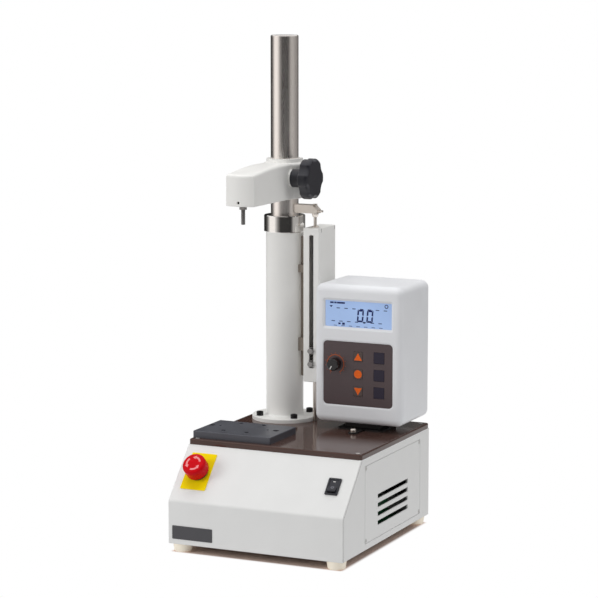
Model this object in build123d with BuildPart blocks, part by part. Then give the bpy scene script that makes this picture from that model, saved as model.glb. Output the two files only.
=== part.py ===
from build123d import *
import math
import os

# Base casing
foot_height = 11.5
front_height = 60.0
slope_depth = 62.0
slope_rise = 67.5
plate_thickness = 7.5
wall = 3.0
tray_thickness = 4.0
rear_recess = 4.0
bend_radius = 6.0
fit_gap = 0.2
# Rubber feet
foot_side_inset = 15.0
foot_end_inset = 14.0
foot_edge = 1.0
foot_top_radius = 13.8
foot_bottom_radius = 12.0
foot_recess_radius = 4.0
foot_recess_depth = 5.0
# Side panels
panel_front_inset = 13.0
panel_rear_inset = 34.0
panel_lower_inset = 9.0
panel_upper_inset = 11.0
panel_thickness = 1.5
panel_gap = 0.4
panel_screw_inset = 3.2
panel_corner_radius = 1.5
vent_front_inset = 44.5
vent_rear_inset = 45.4
vent_centre_height = 38.4
vent_spacing = 12.5
vent_height = 6.2
vent_corner = 1.2
vent_count = 4
vent_margin = 1.0
# Small screws
screw_radius = 1.5
screw_head_radius = 3.0
screw_head_height = 1.2
screw_clearance = 0.2
screw_slot_width = 0.7
screw_slot_length = 4.0
screw_slot_depth = 0.6
# Top plate and test table
plate_corner_radius = 4.0
plate_edge_radius = 2.0
plate_screw_inset = 9.2
table_side_gap = 1.0
table_front_gap = 10.0
table_rear_gap = 51.0
table_width = 120.0
table_depth = 85.0
table_corner = 2.0
test_front_distance = 48.0
table_thickness = 9.7
table_edge = 0.8
table_hole_dx = 36.0
table_hole_dy = 56.0
table_hole_radius = 3.4
table_screw_offset = 50.0
table_dowel_offset = 37.0
table_dowel_radius = 2.0
table_screw_radius = 2.5
table_screw_head_radius = 4.5
table_screw_head_height = 4.0
# Column
column_side_distance = 57.0
column_rear_distance = 52.5
column_radius = 20.0
column_bore_radius = 13.0
column_above_arm = 232.0
column_cap = 15.0
column_chamfer = 1.2
column_lift = 150.0
tube_radius = 27.0
tube_bore_radius = 23.0
flange_radius = 47.5
flange_thickness = 6.0
flange_fillet = 3.0
flange_bolt_distance = 38.5
bolt_radius = 3.0
bolt_head_radius = 5.0
bolt_head_height = 6.0
bolt_socket = 5.0
bolt_edge = 0.6
collar_radius = 29.7
collar_bottom_rise = 274.0
collar_height = 24.0
collar_spigot = 30.0
collar_edge = 0.8
run_clearance = 0.1
seat_clearance = 0.05
# Drive
screw_thread_radius = 8.0
screw_journal_radius = 6.0
screw_lead_in = 1.5
nut_gap = 3.0
nut_flange_thickness = 12.0
nut_spigot = 26.0
bearing_outer_radius = 14.0
bearing_width = 8.0
bearing_spacing = 24.0
housing_wall = 6.0
housing_flange_radius = 40.0
housing_flange_thickness = 8.0
housing_body_height = 50.0
housing_spigot_radius = 18.0
housing_spigot_height = 4.0
drive_distance = 90.0
screw_pulley_radius = 17.0
motor_pulley_radius = 8.5
pulley_width = 14.0
pulley_flange = 1.2
pulley_flange_extra = 2.0
pulley_rise = 13.0
pulley_tooth_radius = 0.8
screw_pulley_teeth = 36
motor_pulley_teeth = 18
belt_width = 9.0
belt_thickness = 1.8
belt_gap = 0.3
motor_size = 57.0
motor_height = 80.0
motor_corner = 5.0
motor_shaft_radius = 4.0
motor_pilot_radius = 19.0
motor_pilot_height = 2.0
# Limit rod, housing and stops
rod_side_distance = 49.0
rod_front_offset = 1.5
rod_radius = 3.0
rod_bottom_rise = 26.0
rod_guide_clearance = 0.3
rod_plate_gap = 1.0
rod_neck_radius = 2.2
rod_neck_end_gap = 2.0
dog_radius = 4.5
dog_height = 5.0
striker_gap = 4.0
striker_height = 12.0
striker_width = 15.0
striker_reach = 54.0
striker_chamfer = 7.0
pinch_radius = 1.6
pinch_length = 7.0
limit_side_distance = 37.3
limit_width = 25.0
limit_front_offset = 17.5
limit_depth = 56.5
limit_bottom_rise = 59.0
limit_top_gap = 20.0
limit_wall = 2.0
limit_edge = 1.5
slot_inset = 12.7
slot_corner = 1.5
slot_width = 7.0
slot_bottom_inset = 20.5
slot_top_inset = 10.0
stop_spacing = 19.2
stop_lower_inset = 6.0
stop_block_width = 12.0
stop_block_depth = 7.0
stop_block_height = 10.0
stop_head_radius = 4.0
stop_head_length = 4.5
stop_edge = 0.5
slide_clearance = 0.3
bracket_width = 18.0
rail_thickness = 5.0
rail_end_gap = 6.0
bracket_insets = (60.0, 170.0)
bracket_heights = (11.0, 19.0)
# Arm
arm_striker_gap = 9.0
arm_half_width = 21.75
arm_edge_length = 9.0
arm_nose_length = 15.5
arm_rise_share = 0.72
arm_rise_slope = 0.1
arm_overrun = 1.0
arm_nose_height = 44.0
arm_hub_height = 51.5
hub_radius = 30.5
hub_ring_radius = 26.2
hub_ring_height = 5.0
hub_blend = 7.0
arm_edge_fillet = 4.5
arm_lower_fillet = 1.5
arm_bore_clearance = 0.1
set_screw_height = 5.5
set_screw_radius = 2.0
set_screw_depth = 6.0
stud_radius = 3.0
stud_length = 26.0
stud_core_radius = 2.5
stud_edge = 0.5
stud_depth = 20.0
stud_nut_flats = 10.0
stud_nut_height = 5.0
# Clamp knob
clamp_offset = 24.5
clamp_height = 30.4
clamp_screw_radius = 3.5
cotter_radius = 7.5
cotter_length = 14.0
cotter_split = 3.0
knob_stem_radius = 13.0
knob_stem_length = 18.3
knob_head_radius = 29.7
knob_head_thickness = 16.5
knob_lobes = 6
knob_notch_radius = 16.0
knob_notch_distance = 42.4
knob_notch_angle = 30.0
knob_edge = 3.0
knob_crown = 5.0
spot_face_gap = 0.8
boss_height = 3.2
boss_inset = 0.5
# Emergency stop
estop_side_inset = 30.0
estop_u = 49.5
legend_width = 38.0
legend_height = 58.0
legend_thickness = 1.0
legend_corner = 1.5
estop_flange_radius = 14.5
estop_flange_height = 4.0
estop_barrel_radius = 11.0
estop_barrel_length = 22.0
estop_block = 28.0
estop_block_length = 30.0
estop_nut_radius = 15.0
estop_nut_height = 4.0
estop_stem_radius = 5.0
estop_stem_clearance = 0.15
estop_travel = 4.0
estop_head_radius = 16.8
estop_head_height = 17.2
estop_head_fillet = 4.5
estop_press_gap = 0.6
estop_skirt_gap = 0.5
estop_skirt_edge = 0.5
# Rocker switch
rocker_side_inset = 28.0
rocker_u = 47.3
rocker_bezel_width = 18.8
rocker_bezel_height = 26.0
rocker_bezel_thickness = 2.0
rocker_corner = 1.5
rocker_edge = 0.6
rocker_body_width = 16.0
rocker_body_height = 22.6
rocker_body_depth = 18.0
rocker_opening_width = 13.2
rocker_opening_height = 20.8
rocker_opening_depth = 14.0
rocker_tilt = 12.0
rocker_half_length = 9.6
rocker_end_height = 3.4
rocker_waist_height = 1.4
rocker_side_height = 0.2
rocker_foot_half_length = 4.0
rocker_foot_depth = 6.0
rocker_pin_radius = 1.5
rocker_pin_length = 1.0
# Controller
ctrl_side_gap = 1.2
ctrl_inner_gap = 7.0
ctrl_rear_gap = 2.0
ctrl_width = 134.5
ctrl_depth = 100.0
ctrl_bottom_rise = 10.0
ctrl_height = 198.0
ctrl_wall = 3.0
ctrl_front_wall = 5.0
ctrl_fillet = 11.0
ctrl_front_fillet = 10.0
ctrl_rear_fillet = 2.0
lcd_rise = 166.8
lcd_side_inset = 16.45
lcd_height = 37.2
lcd_depth = 2.6
lcd_flange = 4.0
lcd_body = 6.0
lcd_corner = 1.0
lcd_bezel = 3.4
lcd_bezel_depth = 2.2
keypad_rise = 82.0
keypad_side_inset = 14.25
keypad_height = 91.0
keypad_radius = 6.0
keypad_recess = 2.0
keypad_thickness = 1.0
keypad_bezel = 2.2
keypad_bezel_depth = 0.9
key_gap = 0.3
key_front = 0.4
key_flange = 1.2
key_flange_extra = 1.2
key_travel = 0.8
key_edge = 0.3
arrow_offset = 0.4
arrow_size = 14.0
square_inset = 20.7
square_size = 16.4
key_rise = 82.2
key_spacing = 24.9
dial_inset = 18.5
dial_rise = 94.8
dial_radius = 8.8
dial_height = 11.5
dial_edge = 1.2
dial_shaft_radius = 3.0
board_front = 10.0
board_thickness = 1.6
board_side_inset = 1.0
board_post_inset = 4.0
board_post_radius = 3.5
board_height = 104.0
switch_gap = 0.2
pot_radius = 8.0
pot_height = 3.5
stand_width = 70.0
stand_front_inset = 8.0
stand_rear_inset = 6.0
stand_tongue_length = 21.0
stand_plate = 2.0
stand_corner = 5.0
stand_riser_width = 54.0
stand_riser_front_inset = 20.0
stand_riser_rear_inset = 22.0
stand_screw_distance = 14.5
stand_screw_spread = 44.0
stand_screw_rear_inset = 13.0
stand_tongue_width = 13.0
dome_radius = 4.2
dome_height = 5.0
dome_socket = 2.5
dome_socket_depth = 2.0
# Rear connections and electronics
inlet_side_inset = 47.0
inlet_rise = 43.0
inlet_width = 27.0
inlet_height = 20.0
inlet_flange_width = 48.0
inlet_flange_height = 23.0
inlet_flange_thickness = 3.0
inlet_depth = 28.0
inlet_corner = 3.0
inlet_wall = 1.8
inlet_socket_depth = 17.0
inlet_blade_width = 2.0
inlet_blade_height = 4.0
inlet_blade_spread = 7.0
inlet_blade_rise = 2.0
supply_side_inset = 69.0
supply_rear_offset = 20.0
supply_width = 96.0
supply_depth = 130.0
supply_board = 2.0
supply_standoff = 8.0
supply_margin = 6.0
supply_post_radius = 4.0
converter_width = 44.0
converter_depth = 50.0
converter_height = 38.0
sink_width = 18.0
sink_depth = 90.0
sink_height = 30.0
capacitor_radius = 10.0
capacitor_height = 32.0
capacitor_gap = 4.0

# Overall footprint: column, limit gear and controller side by side, table and column one behind the other
gear_width = column_side_distance + limit_side_distance + limit_width + ctrl_inner_gap
base_width = gear_width + ctrl_width + ctrl_side_gap
table_run = table_front_gap + table_depth + table_rear_gap
base_depth = slope_depth + table_run + flange_radius + column_rear_distance

# Derived positions
half_width = base_width / 2
front_y = -base_depth / 2
rear_y = base_depth / 2
bend_z = foot_height + front_height
plate_bottom = bend_z + slope_rise
plate_top = plate_bottom + plate_thickness
plate_front = front_y + slope_depth
slope_angle = math.atan2(slope_rise, slope_depth)
slope_normal = (0, -math.sin(slope_angle), math.cos(slope_angle))
tray_top = foot_height + tray_thickness
collar_bottom = plate_top + collar_bottom_rise
collar_top = collar_bottom + collar_height
striker_bottom = collar_top + striker_gap
arm_bottom = striker_bottom + striker_height + arm_striker_gap
column_top = arm_bottom + column_above_arm
limit_z_min = plate_top + limit_bottom_rise
limit_z_max = striker_bottom - limit_top_gap
slot_z_min = limit_z_min + slot_bottom_inset
slot_z_max = limit_z_max - slot_top_inset
stop_lower_z = slot_z_min + stop_lower_inset
stop_upper_z = stop_lower_z + stop_spacing
set_screw_z = arm_bottom + set_screw_height
stud_tip = arm_bottom - stud_length
clamp_z = arm_bottom + clamp_height
ctrl_bottom = plate_top + ctrl_bottom_rise
lcd_z = plate_top + lcd_rise
keypad_z = plate_top + keypad_rise
key_z = plate_top + key_rise
dial_z = plate_top + dial_rise
bracket_z = [limit_z_max - inset for inset in bracket_insets]
pulley_bottom = tray_top + pulley_rise
rod_bottom = tray_top + rod_bottom_rise
inlet_z = foot_height + inlet_rise
rear_wall_outer = rear_y - rear_recess
rear_wall_inner = rear_wall_outer - wall
foot_x = half_width - foot_side_inset
foot_y = rear_y - foot_end_inset
panel_y_min = plate_front + panel_front_inset
panel_y_max = rear_y - panel_rear_inset
panel_z_min = foot_height + panel_lower_inset
panel_z_max = plate_bottom - panel_upper_inset
vent_y_min = panel_y_min + vent_front_inset
vent_y_max = panel_y_max - vent_rear_inset
vent_z = panel_z_min + vent_centre_height
table_x_min = -half_width + table_side_gap
table_x_max = table_x_min + table_width
table_y_min = plate_front + table_front_gap
table_y_max = table_y_min + table_depth
column_x = -half_width + column_side_distance
column_y = rear_y - column_rear_distance
test_x = column_x
test_y = table_y_min + test_front_distance
arm_edge_y = test_y - arm_edge_length
arm_nose_y = test_y - arm_nose_length
rod_x = column_x + rod_side_distance
rod_y = column_y - rod_front_offset
striker_end = column_x + striker_reach
limit_x_min = column_x + limit_side_distance
limit_x_max = limit_x_min + limit_width
limit_y_min = column_y - limit_front_offset
limit_y_max = limit_y_min + limit_depth
slot_x = limit_x_min + slot_inset
estop_x = -half_width + estop_side_inset
rocker_x = half_width - rocker_side_inset
ctrl_x = half_width - ctrl_side_gap - ctrl_width / 2
ctrl_rear = rear_y - ctrl_rear_gap
ctrl_front = ctrl_rear - ctrl_depth
lcd_width = ctrl_width - 2 * lcd_side_inset
keypad_width = ctrl_width - 2 * keypad_side_inset
square_x = keypad_width / 2 - square_inset
dial_x = dial_inset - keypad_width / 2
board_width = keypad_width - 2 * board_side_inset
stand_front = ctrl_front + stand_front_inset
stand_rear = ctrl_rear - stand_rear_inset
stand_tongue_front = ctrl_front - stand_tongue_length
stand_riser_y_min = ctrl_front + stand_riser_front_inset
stand_riser_y_max = ctrl_rear - stand_riser_rear_inset
stand_screw_y = ctrl_front - stand_screw_distance
stand_screw_rear_y = ctrl_rear - stand_screw_rear_inset
inlet_x = half_width - inlet_side_inset
supply_x = half_width - supply_side_inset
supply_y = supply_rear_offset
nut_bottom = plate_top + housing_spigot_height + nut_gap
column_bottom = nut_bottom + nut_flange_thickness
screw_top = column_bottom + nut_spigot + column_lift + nut_gap
motor_x = column_x
motor_y = column_y - drive_distance
motor_bottom = plate_bottom - motor_height
rod_top = striker_bottom + striker_height + rod_radius / 2
table_top = plate_top + table_thickness
clamp_y = column_y - clamp_offset
slope_plane = Plane(origin=(0, front_y, bend_z), x_dir=(1, 0, 0), z_dir=slope_normal)
estop_plane = Plane(
    origin=slope_plane.from_local_coords((estop_x, estop_u, 0)), x_dir=(1, 0, 0), z_dir=slope_normal
)
rocker_plane = Plane(
    origin=slope_plane.from_local_coords((rocker_x, rocker_u, 0)), x_dir=(1, 0, 0), z_dir=slope_normal
)
ctrl_plane = Plane(origin=(ctrl_x, ctrl_front, 0), x_dir=(1, 0, 0), z_dir=(0, -1, 0))
ctrl_top = ctrl_bottom + ctrl_height
key_columns = [(arrow_offset, arrow_size), (square_x, square_size)]
key_spots = [(x, key_z + key_spacing * step, size) for x, size in key_columns for step in (1, 0, -1)]
key_names = ["up_key", "stop_key", "down_key", "mode_key", "zero_key", "set_key"]
flange_bolt_angle = 45.0
stand_screw_spots = [
    (ctrl_x, stand_screw_y),
    (ctrl_x - stand_screw_spread / 2, stand_screw_rear_y),
    (ctrl_x + stand_screw_spread / 2, stand_screw_rear_y),
]
plate_screw_spots = [
    (side * (half_width - plate_screw_inset), y)
    for side in (-1, 1)
    for y in (plate_front + plate_screw_inset, rear_y - plate_screw_inset)
]
table_screw_spots = [(test_x - table_screw_offset, test_y), (test_x + table_screw_offset, test_y)]
table_hole_spots = [
    (test_x + sx * table_hole_dx / 2, test_y + sy * table_hole_dy / 2) for sx in (-1, 1) for sy in (-1, 1)
]
panel_screw_spots = [
    (y, z)
    for y in (panel_y_min + panel_screw_inset, panel_y_max - panel_screw_inset)
    for z in (panel_z_min + panel_screw_inset, panel_z_max - panel_screw_inset)
]
up_min = (Align.CENTER, Align.CENTER, Align.MIN)
down_max = (Align.CENTER, Align.CENTER, Align.MAX)

os.makedirs("parts", exist_ok=True)

# Rubber feet, tapered, with a recess for the fixing screw
with BuildPart() as rubber_feet:
    with GridLocations(2 * foot_x, 2 * foot_y, 2, 2):
        Cone(foot_bottom_radius, foot_top_radius, foot_height, align=up_min)
        Cylinder(foot_recess_radius, foot_recess_depth, align=up_min, mode=Mode.SUBTRACT)
    lower_edges = rubber_feet.edges().group_by(Axis.Z)[0]
    rim = lower_edges.filter_by(lambda e: e.radius > foot_recess_radius + foot_edge)
    fillet(rim, foot_edge)
rubber_feet.part.label = "rubber_feet"
export_step(rubber_feet.part, "parts/rubber_feet.step")

# Front panel, one bent sheet with the upright face and the slope
inner_bend_z = bend_z - wall * math.tan((math.pi / 2 - slope_angle) / 2)
inner_top_y = plate_front + wall / math.sin(slope_angle)
with BuildPart() as front_panel:
    with BuildSketch(Plane.YZ.offset(-half_width)) as profile:
        with BuildLine():
            Polyline(
                (front_y, foot_height),
                (front_y, bend_z),
                (plate_front, plate_bottom),
                (inner_top_y, plate_bottom),
                (front_y + wall, inner_bend_z),
                (front_y + wall, foot_height),
                close=True,
            )
        make_face()
        fillet(profile.vertices().sort_by_distance((front_y, bend_z))[0], bend_radius)
        inner_corner = profile.vertices().sort_by_distance((front_y + wall, inner_bend_z))[0]
        fillet(inner_corner, bend_radius - wall)
    extrude(amount=base_width)
    with BuildSketch(estop_plane):
        Circle(estop_barrel_radius + fit_gap)
    extrude(amount=-2 * wall, mode=Mode.SUBTRACT)
    with BuildSketch(rocker_plane):
        Rectangle(rocker_body_width + 2 * fit_gap, rocker_body_height + 2 * fit_gap)
    extrude(amount=-2 * wall, mode=Mode.SUBTRACT)
front_panel.part.label = "front_panel"
export_step(front_panel.part, "parts/front_panel.step")

# Chassis tray closing the bottom between the walls
tray_y_min = front_y + wall
tray_y_max = rear_wall_inner
with BuildPart() as chassis_tray:
    with Locations((0, (tray_y_min + tray_y_max) / 2, foot_height)):
        Box(base_width - 2 * wall, tray_y_max - tray_y_min, tray_thickness, align=up_min)
    fillet(chassis_tray.edges().filter_by(Axis.Z), wall)
chassis_tray.part.label = "chassis_tray"
export_step(chassis_tray.part, "parts/chassis_tray.step")

# Side walls with a pocket for the vented panel and air slots behind it
panel_y = (panel_y_min + panel_y_max) / 2
panel_z = (panel_z_min + panel_z_max) / 2
panel_length = panel_y_max - panel_y_min
panel_height = panel_z_max - panel_z_min
vent_y = (vent_y_min + vent_y_max) / 2
vent_length = vent_y_max - vent_y_min
with BuildPart() as side_wall_right:
    with BuildSketch(Plane.YZ.offset(half_width - wall)) as side_outline:
        with BuildLine():
            Polyline(
                (front_y, foot_height),
                (front_y, bend_z),
                (plate_front, plate_bottom),
                (rear_y, plate_bottom),
                (rear_y, foot_height),
                close=True,
            )
        make_face()
        fillet(side_outline.vertices().sort_by_distance((front_y, bend_z))[0], bend_radius)
    extrude(amount=wall)
    add(front_panel.part, mode=Mode.SUBTRACT)
    with BuildSketch(Plane.YZ.offset(half_width)):
        with Locations((panel_y, panel_z)):
            RectangleRounded(
                panel_length + 2 * panel_gap, panel_height + 2 * panel_gap, panel_corner_radius + panel_gap
            )
    extrude(amount=-panel_thickness, mode=Mode.SUBTRACT)
    with BuildSketch(Plane.YZ.offset(half_width)):
        with Locations((vent_y, vent_z)):
            with GridLocations(0, vent_spacing, 1, vent_count):
                RectangleRounded(
                    vent_length + 2 * vent_margin, vent_height + 2 * vent_margin, vent_corner + vent_margin
                )
        with Locations(*panel_screw_spots):
            Circle(screw_radius + screw_clearance)
    extrude(amount=-wall, mode=Mode.SUBTRACT)
side_wall_right.part.label = "side_wall_right"
export_step(side_wall_right.part, "parts/side_wall_right.step")

with BuildPart() as side_wall_left:
    mirror(side_wall_right.part, about=Plane.YZ)
side_wall_left.part.label = "side_wall_left"
export_step(side_wall_left.part, "parts/side_wall_left.step")

# Vented side panels, flush in the pockets
with BuildPart() as side_panel_right:
    with BuildSketch(Plane.YZ.offset(half_width - panel_thickness)):
        with Locations((panel_y, panel_z)):
            RectangleRounded(panel_length, panel_height, panel_corner_radius)
        with Locations((vent_y, vent_z)):
            with GridLocations(0, vent_spacing, 1, vent_count):
                RectangleRounded(vent_length, vent_height, vent_corner, mode=Mode.SUBTRACT)
        with Locations(*panel_screw_spots):
            Circle(screw_radius + screw_clearance, mode=Mode.SUBTRACT)
    extrude(amount=panel_thickness)
    with BuildSketch(Plane.YZ.offset(half_width)):
        with Locations(*panel_screw_spots):
            Circle(screw_head_radius + screw_clearance)
    extrude(amount=-screw_head_height, mode=Mode.SUBTRACT)
side_panel_right.part.label = "side_panel_right"
export_step(side_panel_right.part, "parts/side_panel_right.step")

with BuildPart() as side_panel_left:
    mirror(side_panel_right.part, about=Plane.YZ)
side_panel_left.part.label = "side_panel_left"
export_step(side_panel_left.part, "parts/side_panel_left.step")

# Rear wall, set in a little, with the inlet cut-out
rear_plane = Plane(origin=(0, rear_wall_outer, 0), x_dir=(-1, 0, 0), z_dir=(0, 1, 0))
with BuildPart() as rear_wall:
    with Locations((0, rear_wall_inner, foot_height)):
        Box(
            base_width - 2 * wall,
            wall,
            plate_bottom - foot_height,
            align=(Align.CENTER, Align.MIN, Align.MIN),
        )
    with BuildSketch(rear_plane):
        with Locations((-inlet_x, inlet_z)):
            Rectangle(inlet_width + 2 * fit_gap, inlet_height + 2 * fit_gap)
    extrude(amount=-wall, mode=Mode.SUBTRACT)
rear_wall.part.label = "rear_wall"
export_step(rear_wall.part, "parts/rear_wall.step")

# Power inlet with three blades in its socket
with BuildPart() as power_inlet:
    with BuildSketch(rear_plane):
        with Locations((-inlet_x, inlet_z)):
            RectangleRounded(inlet_flange_width, inlet_flange_height, inlet_corner)
    extrude(amount=inlet_flange_thickness)
    with BuildSketch(rear_plane):
        with Locations((-inlet_x, inlet_z)):
            Rectangle(inlet_width, inlet_height)
    extrude(amount=-inlet_depth)
    with BuildSketch(rear_plane.offset(inlet_flange_thickness)):
        with Locations((-inlet_x, inlet_z)):
            Rectangle(inlet_width - 2 * inlet_wall, inlet_height - 2 * inlet_wall)
        with Locations(
            (-inlet_x - inlet_blade_spread, inlet_z - inlet_blade_rise),
            (-inlet_x + inlet_blade_spread, inlet_z - inlet_blade_rise),
            (-inlet_x, inlet_z + inlet_blade_rise),
        ):
            Rectangle(inlet_blade_width, inlet_blade_height, mode=Mode.SUBTRACT)
    extrude(amount=-inlet_socket_depth, mode=Mode.SUBTRACT)
power_inlet.part.label = "power_inlet"
export_step(power_inlet.part, "parts/power_inlet.step")

# Top plate, a thick plate that carries column, table and controller
with BuildPart() as top_plate:
    with Locations((0, (plate_front + rear_y) / 2, plate_bottom)):
        Box(base_width, rear_y - plate_front, plate_thickness, align=up_min)
    fillet(top_plate.edges().filter_by(Axis.Z), plate_corner_radius)
    fillet(top_plate.edges().group_by(Axis.Z)[-1], plate_edge_radius)
    with BuildSketch(Plane.XY.offset(plate_bottom)):
        with Locations((column_x, column_y)):
            Circle(housing_spigot_radius + fit_gap)
            with PolarLocations(flange_bolt_distance, 4, flange_bolt_angle):
                Circle(bolt_radius + fit_gap)
        with Locations((rod_x, rod_y)):
            Circle(rod_radius + rod_plate_gap)
        with Locations(*stand_screw_spots, *plate_screw_spots):
            Circle(screw_radius + screw_clearance)
        with Locations(*table_screw_spots):
            Circle(table_screw_radius + screw_clearance)
    extrude(amount=plate_thickness, mode=Mode.SUBTRACT)
    with BuildSketch(Plane.XY.offset(plate_top)):
        with Locations(*plate_screw_spots):
            Circle(screw_head_radius + screw_clearance)
    extrude(amount=-screw_head_height, mode=Mode.SUBTRACT)
top_plate.part.label = "top_plate"
export_step(top_plate.part, "parts/top_plate.step")

# Flush cross-recess screws of the side panels and of the top plate corners
with BuildPart() as one_side_screws:
    with BuildSketch(Plane.YZ.offset(half_width)):
        with Locations(*panel_screw_spots):
            Circle(screw_head_radius)
    extrude(amount=-screw_head_height)
    with BuildSketch(Plane.YZ.offset(half_width - screw_head_height)):
        with Locations(*panel_screw_spots):
            Circle(screw_radius)
    extrude(amount=-wall)
    with BuildSketch(Plane.YZ.offset(half_width)):
        with Locations(*panel_screw_spots):
            Rectangle(screw_slot_length, screw_slot_width)
            Rectangle(screw_slot_width, screw_slot_length)
    extrude(amount=-screw_slot_depth, mode=Mode.SUBTRACT)
with BuildPart() as cover_screws:
    with BuildSketch(Plane.XY.offset(plate_top)):
        with Locations(*plate_screw_spots):
            Circle(screw_head_radius)
    extrude(amount=-screw_head_height)
    with BuildSketch(Plane.XY.offset(plate_top - screw_head_height)):
        with Locations(*plate_screw_spots):
            Circle(screw_radius)
    extrude(amount=-plate_thickness)
    with BuildSketch(Plane.XY.offset(plate_top)):
        with Locations(*plate_screw_spots):
            Rectangle(screw_slot_length, screw_slot_width)
            Rectangle(screw_slot_width, screw_slot_length)
    extrude(amount=-screw_slot_depth, mode=Mode.SUBTRACT)
    add(one_side_screws.part)
    mirror(one_side_screws.part, about=Plane.YZ)
cover_screws.part.label = "cover_screws"
export_step(cover_screws.part, "parts/cover_screws.step")

# Test table with the tapped fixture holes round the test axis
with BuildPart() as test_table:
    with Locations(((table_x_min + table_x_max) / 2, (table_y_min + table_y_max) / 2, plate_top)):
        Box(table_width, table_depth, table_thickness, align=up_min)
    fillet(test_table.edges().filter_by(Axis.Z), table_corner)
    chamfer(test_table.edges().group_by(Axis.Z)[-1], table_edge)
    with BuildSketch(Plane.XY.offset(table_top)):
        with Locations(*table_hole_spots):
            Circle(table_hole_radius)
        with Locations((test_x - table_dowel_offset, test_y), (test_x + table_dowel_offset, test_y)):
            Circle(table_dowel_radius)
        with Locations(*table_screw_spots):
            Circle(table_screw_radius + screw_clearance)
    extrude(amount=-table_thickness, mode=Mode.SUBTRACT)
    with BuildSketch(Plane.XY.offset(table_top)):
        with Locations(*table_screw_spots):
            Circle(table_screw_head_radius + screw_clearance)
    extrude(amount=-table_screw_head_height, mode=Mode.SUBTRACT)
test_table.part.label = "test_table"
export_step(test_table.part, "parts/test_table.step")

# Two cap screws that hold the table, sunk below its face
with BuildPart() as table_screws:
    with BuildSketch(Plane.XY.offset(table_top - table_screw_head_height)):
        with Locations(*table_screw_spots):
            Circle(table_screw_head_radius)
    extrude(amount=table_screw_head_height - table_edge)
    with BuildSketch(Plane.XY.offset(table_top - table_screw_head_height)):
        with Locations(*table_screw_spots):
            Circle(table_screw_radius)
    extrude(amount=-(table_thickness + plate_thickness - table_screw_head_height))
    with BuildSketch(Plane.XY.offset(table_top - table_edge)):
        with Locations(*table_screw_spots):
            RegularPolygon(table_screw_radius, 6)
    extrude(amount=-table_screw_head_height / 2, mode=Mode.SUBTRACT)
table_screws.part.label = "table_screws"
export_step(table_screws.part, "parts/table_screws.step")

# Outer column tube with its bolted foot flange
with BuildPart() as outer_column:
    with Locations((column_x, column_y, plate_top)):
        Cylinder(flange_radius, flange_thickness, align=up_min)
        Cylinder(tube_radius, collar_bottom - plate_top, align=up_min)
    root = outer_column.edges().filter_by(GeomType.CIRCLE).filter_by(
        lambda e: abs(e.radius - tube_radius) < seat_clearance
    )
    fillet(root.group_by(Axis.Z)[0], flange_fillet)
    rim = outer_column.edges().filter_by(GeomType.CIRCLE).filter_by(
        lambda e: abs(e.radius - flange_radius) < seat_clearance
    )
    chamfer(rim.group_by(Axis.Z)[-1], table_edge)
    with Locations((column_x, column_y, plate_top)):
        Cylinder(tube_bore_radius, collar_bottom - plate_top, align=up_min, mode=Mode.SUBTRACT)
        with PolarLocations(flange_bolt_distance, 4, flange_bolt_angle):
            Cylinder(bolt_radius + fit_gap, flange_thickness, align=up_min, mode=Mode.SUBTRACT)
    with Locations((rod_x, rod_y, plate_top)):
        Cylinder(rod_radius + rod_plate_gap, flange_thickness, align=up_min, mode=Mode.SUBTRACT)
outer_column.part.label = "outer_column"
export_step(outer_column.part, "parts/outer_column.step")

# Socket head bolts through the flange
with BuildPart() as flange_bolts:
    with Locations((column_x, column_y, plate_top + flange_thickness)):
        with PolarLocations(flange_bolt_distance, 4, flange_bolt_angle):
            Cylinder(bolt_head_radius, bolt_head_height, align=up_min)
    chamfer(flange_bolts.edges().group_by(Axis.Z)[-1], bolt_edge)
    with Locations((column_x, column_y, plate_top + flange_thickness)):
        with PolarLocations(flange_bolt_distance, 4, flange_bolt_angle):
            Cylinder(bolt_radius, flange_thickness + 2 * plate_thickness, align=down_max)
    with BuildSketch(Plane.XY.offset(plate_top + flange_thickness + bolt_head_height)):
        with Locations((column_x, column_y)):
            with PolarLocations(flange_bolt_distance, 4, flange_bolt_angle):
                RegularPolygon(bolt_socket / 2, 6, major_radius=False)
    extrude(amount=-bolt_head_height / 2, mode=Mode.SUBTRACT)
flange_bolts.part.label = "flange_bolts"
export_step(flange_bolts.part, "parts/flange_bolts.step")

# Chromed collar that guides the steel column in the tube
with BuildPart() as column_collar:
    with Locations((column_x, column_y, collar_bottom)):
        Cylinder(collar_radius, collar_top - collar_bottom, align=up_min)
    chamfer(column_collar.edges().filter_by(GeomType.CIRCLE), collar_edge)
    with Locations((column_x, column_y, collar_bottom)):
        Cylinder(tube_bore_radius - seat_clearance, collar_spigot, align=down_max)
    with Locations((column_x, column_y, collar_bottom - collar_spigot)):
        Cylinder(
            column_radius + run_clearance,
            collar_spigot + collar_top - collar_bottom,
            align=up_min,
            mode=Mode.SUBTRACT,
        )
column_collar.part.label = "column_collar"
export_step(column_collar.part, "parts/column_collar.step")

# Steel column, bored from below for the lead screw
with BuildPart() as inner_column:
    with Locations((column_x, column_y, column_bottom)):
        Cylinder(column_radius, column_top - column_bottom, align=up_min)
    chamfer(inner_column.edges().group_by(Axis.Z)[-1], column_chamfer)
    with Locations((column_x, column_y, column_bottom)):
        Cylinder(
            column_bore_radius,
            column_top - column_bottom - column_cap,
            align=up_min,
            mode=Mode.SUBTRACT,
        )
inner_column.part.label = "inner_column"
export_step(inner_column.part, "parts/inner_column.step")

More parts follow.
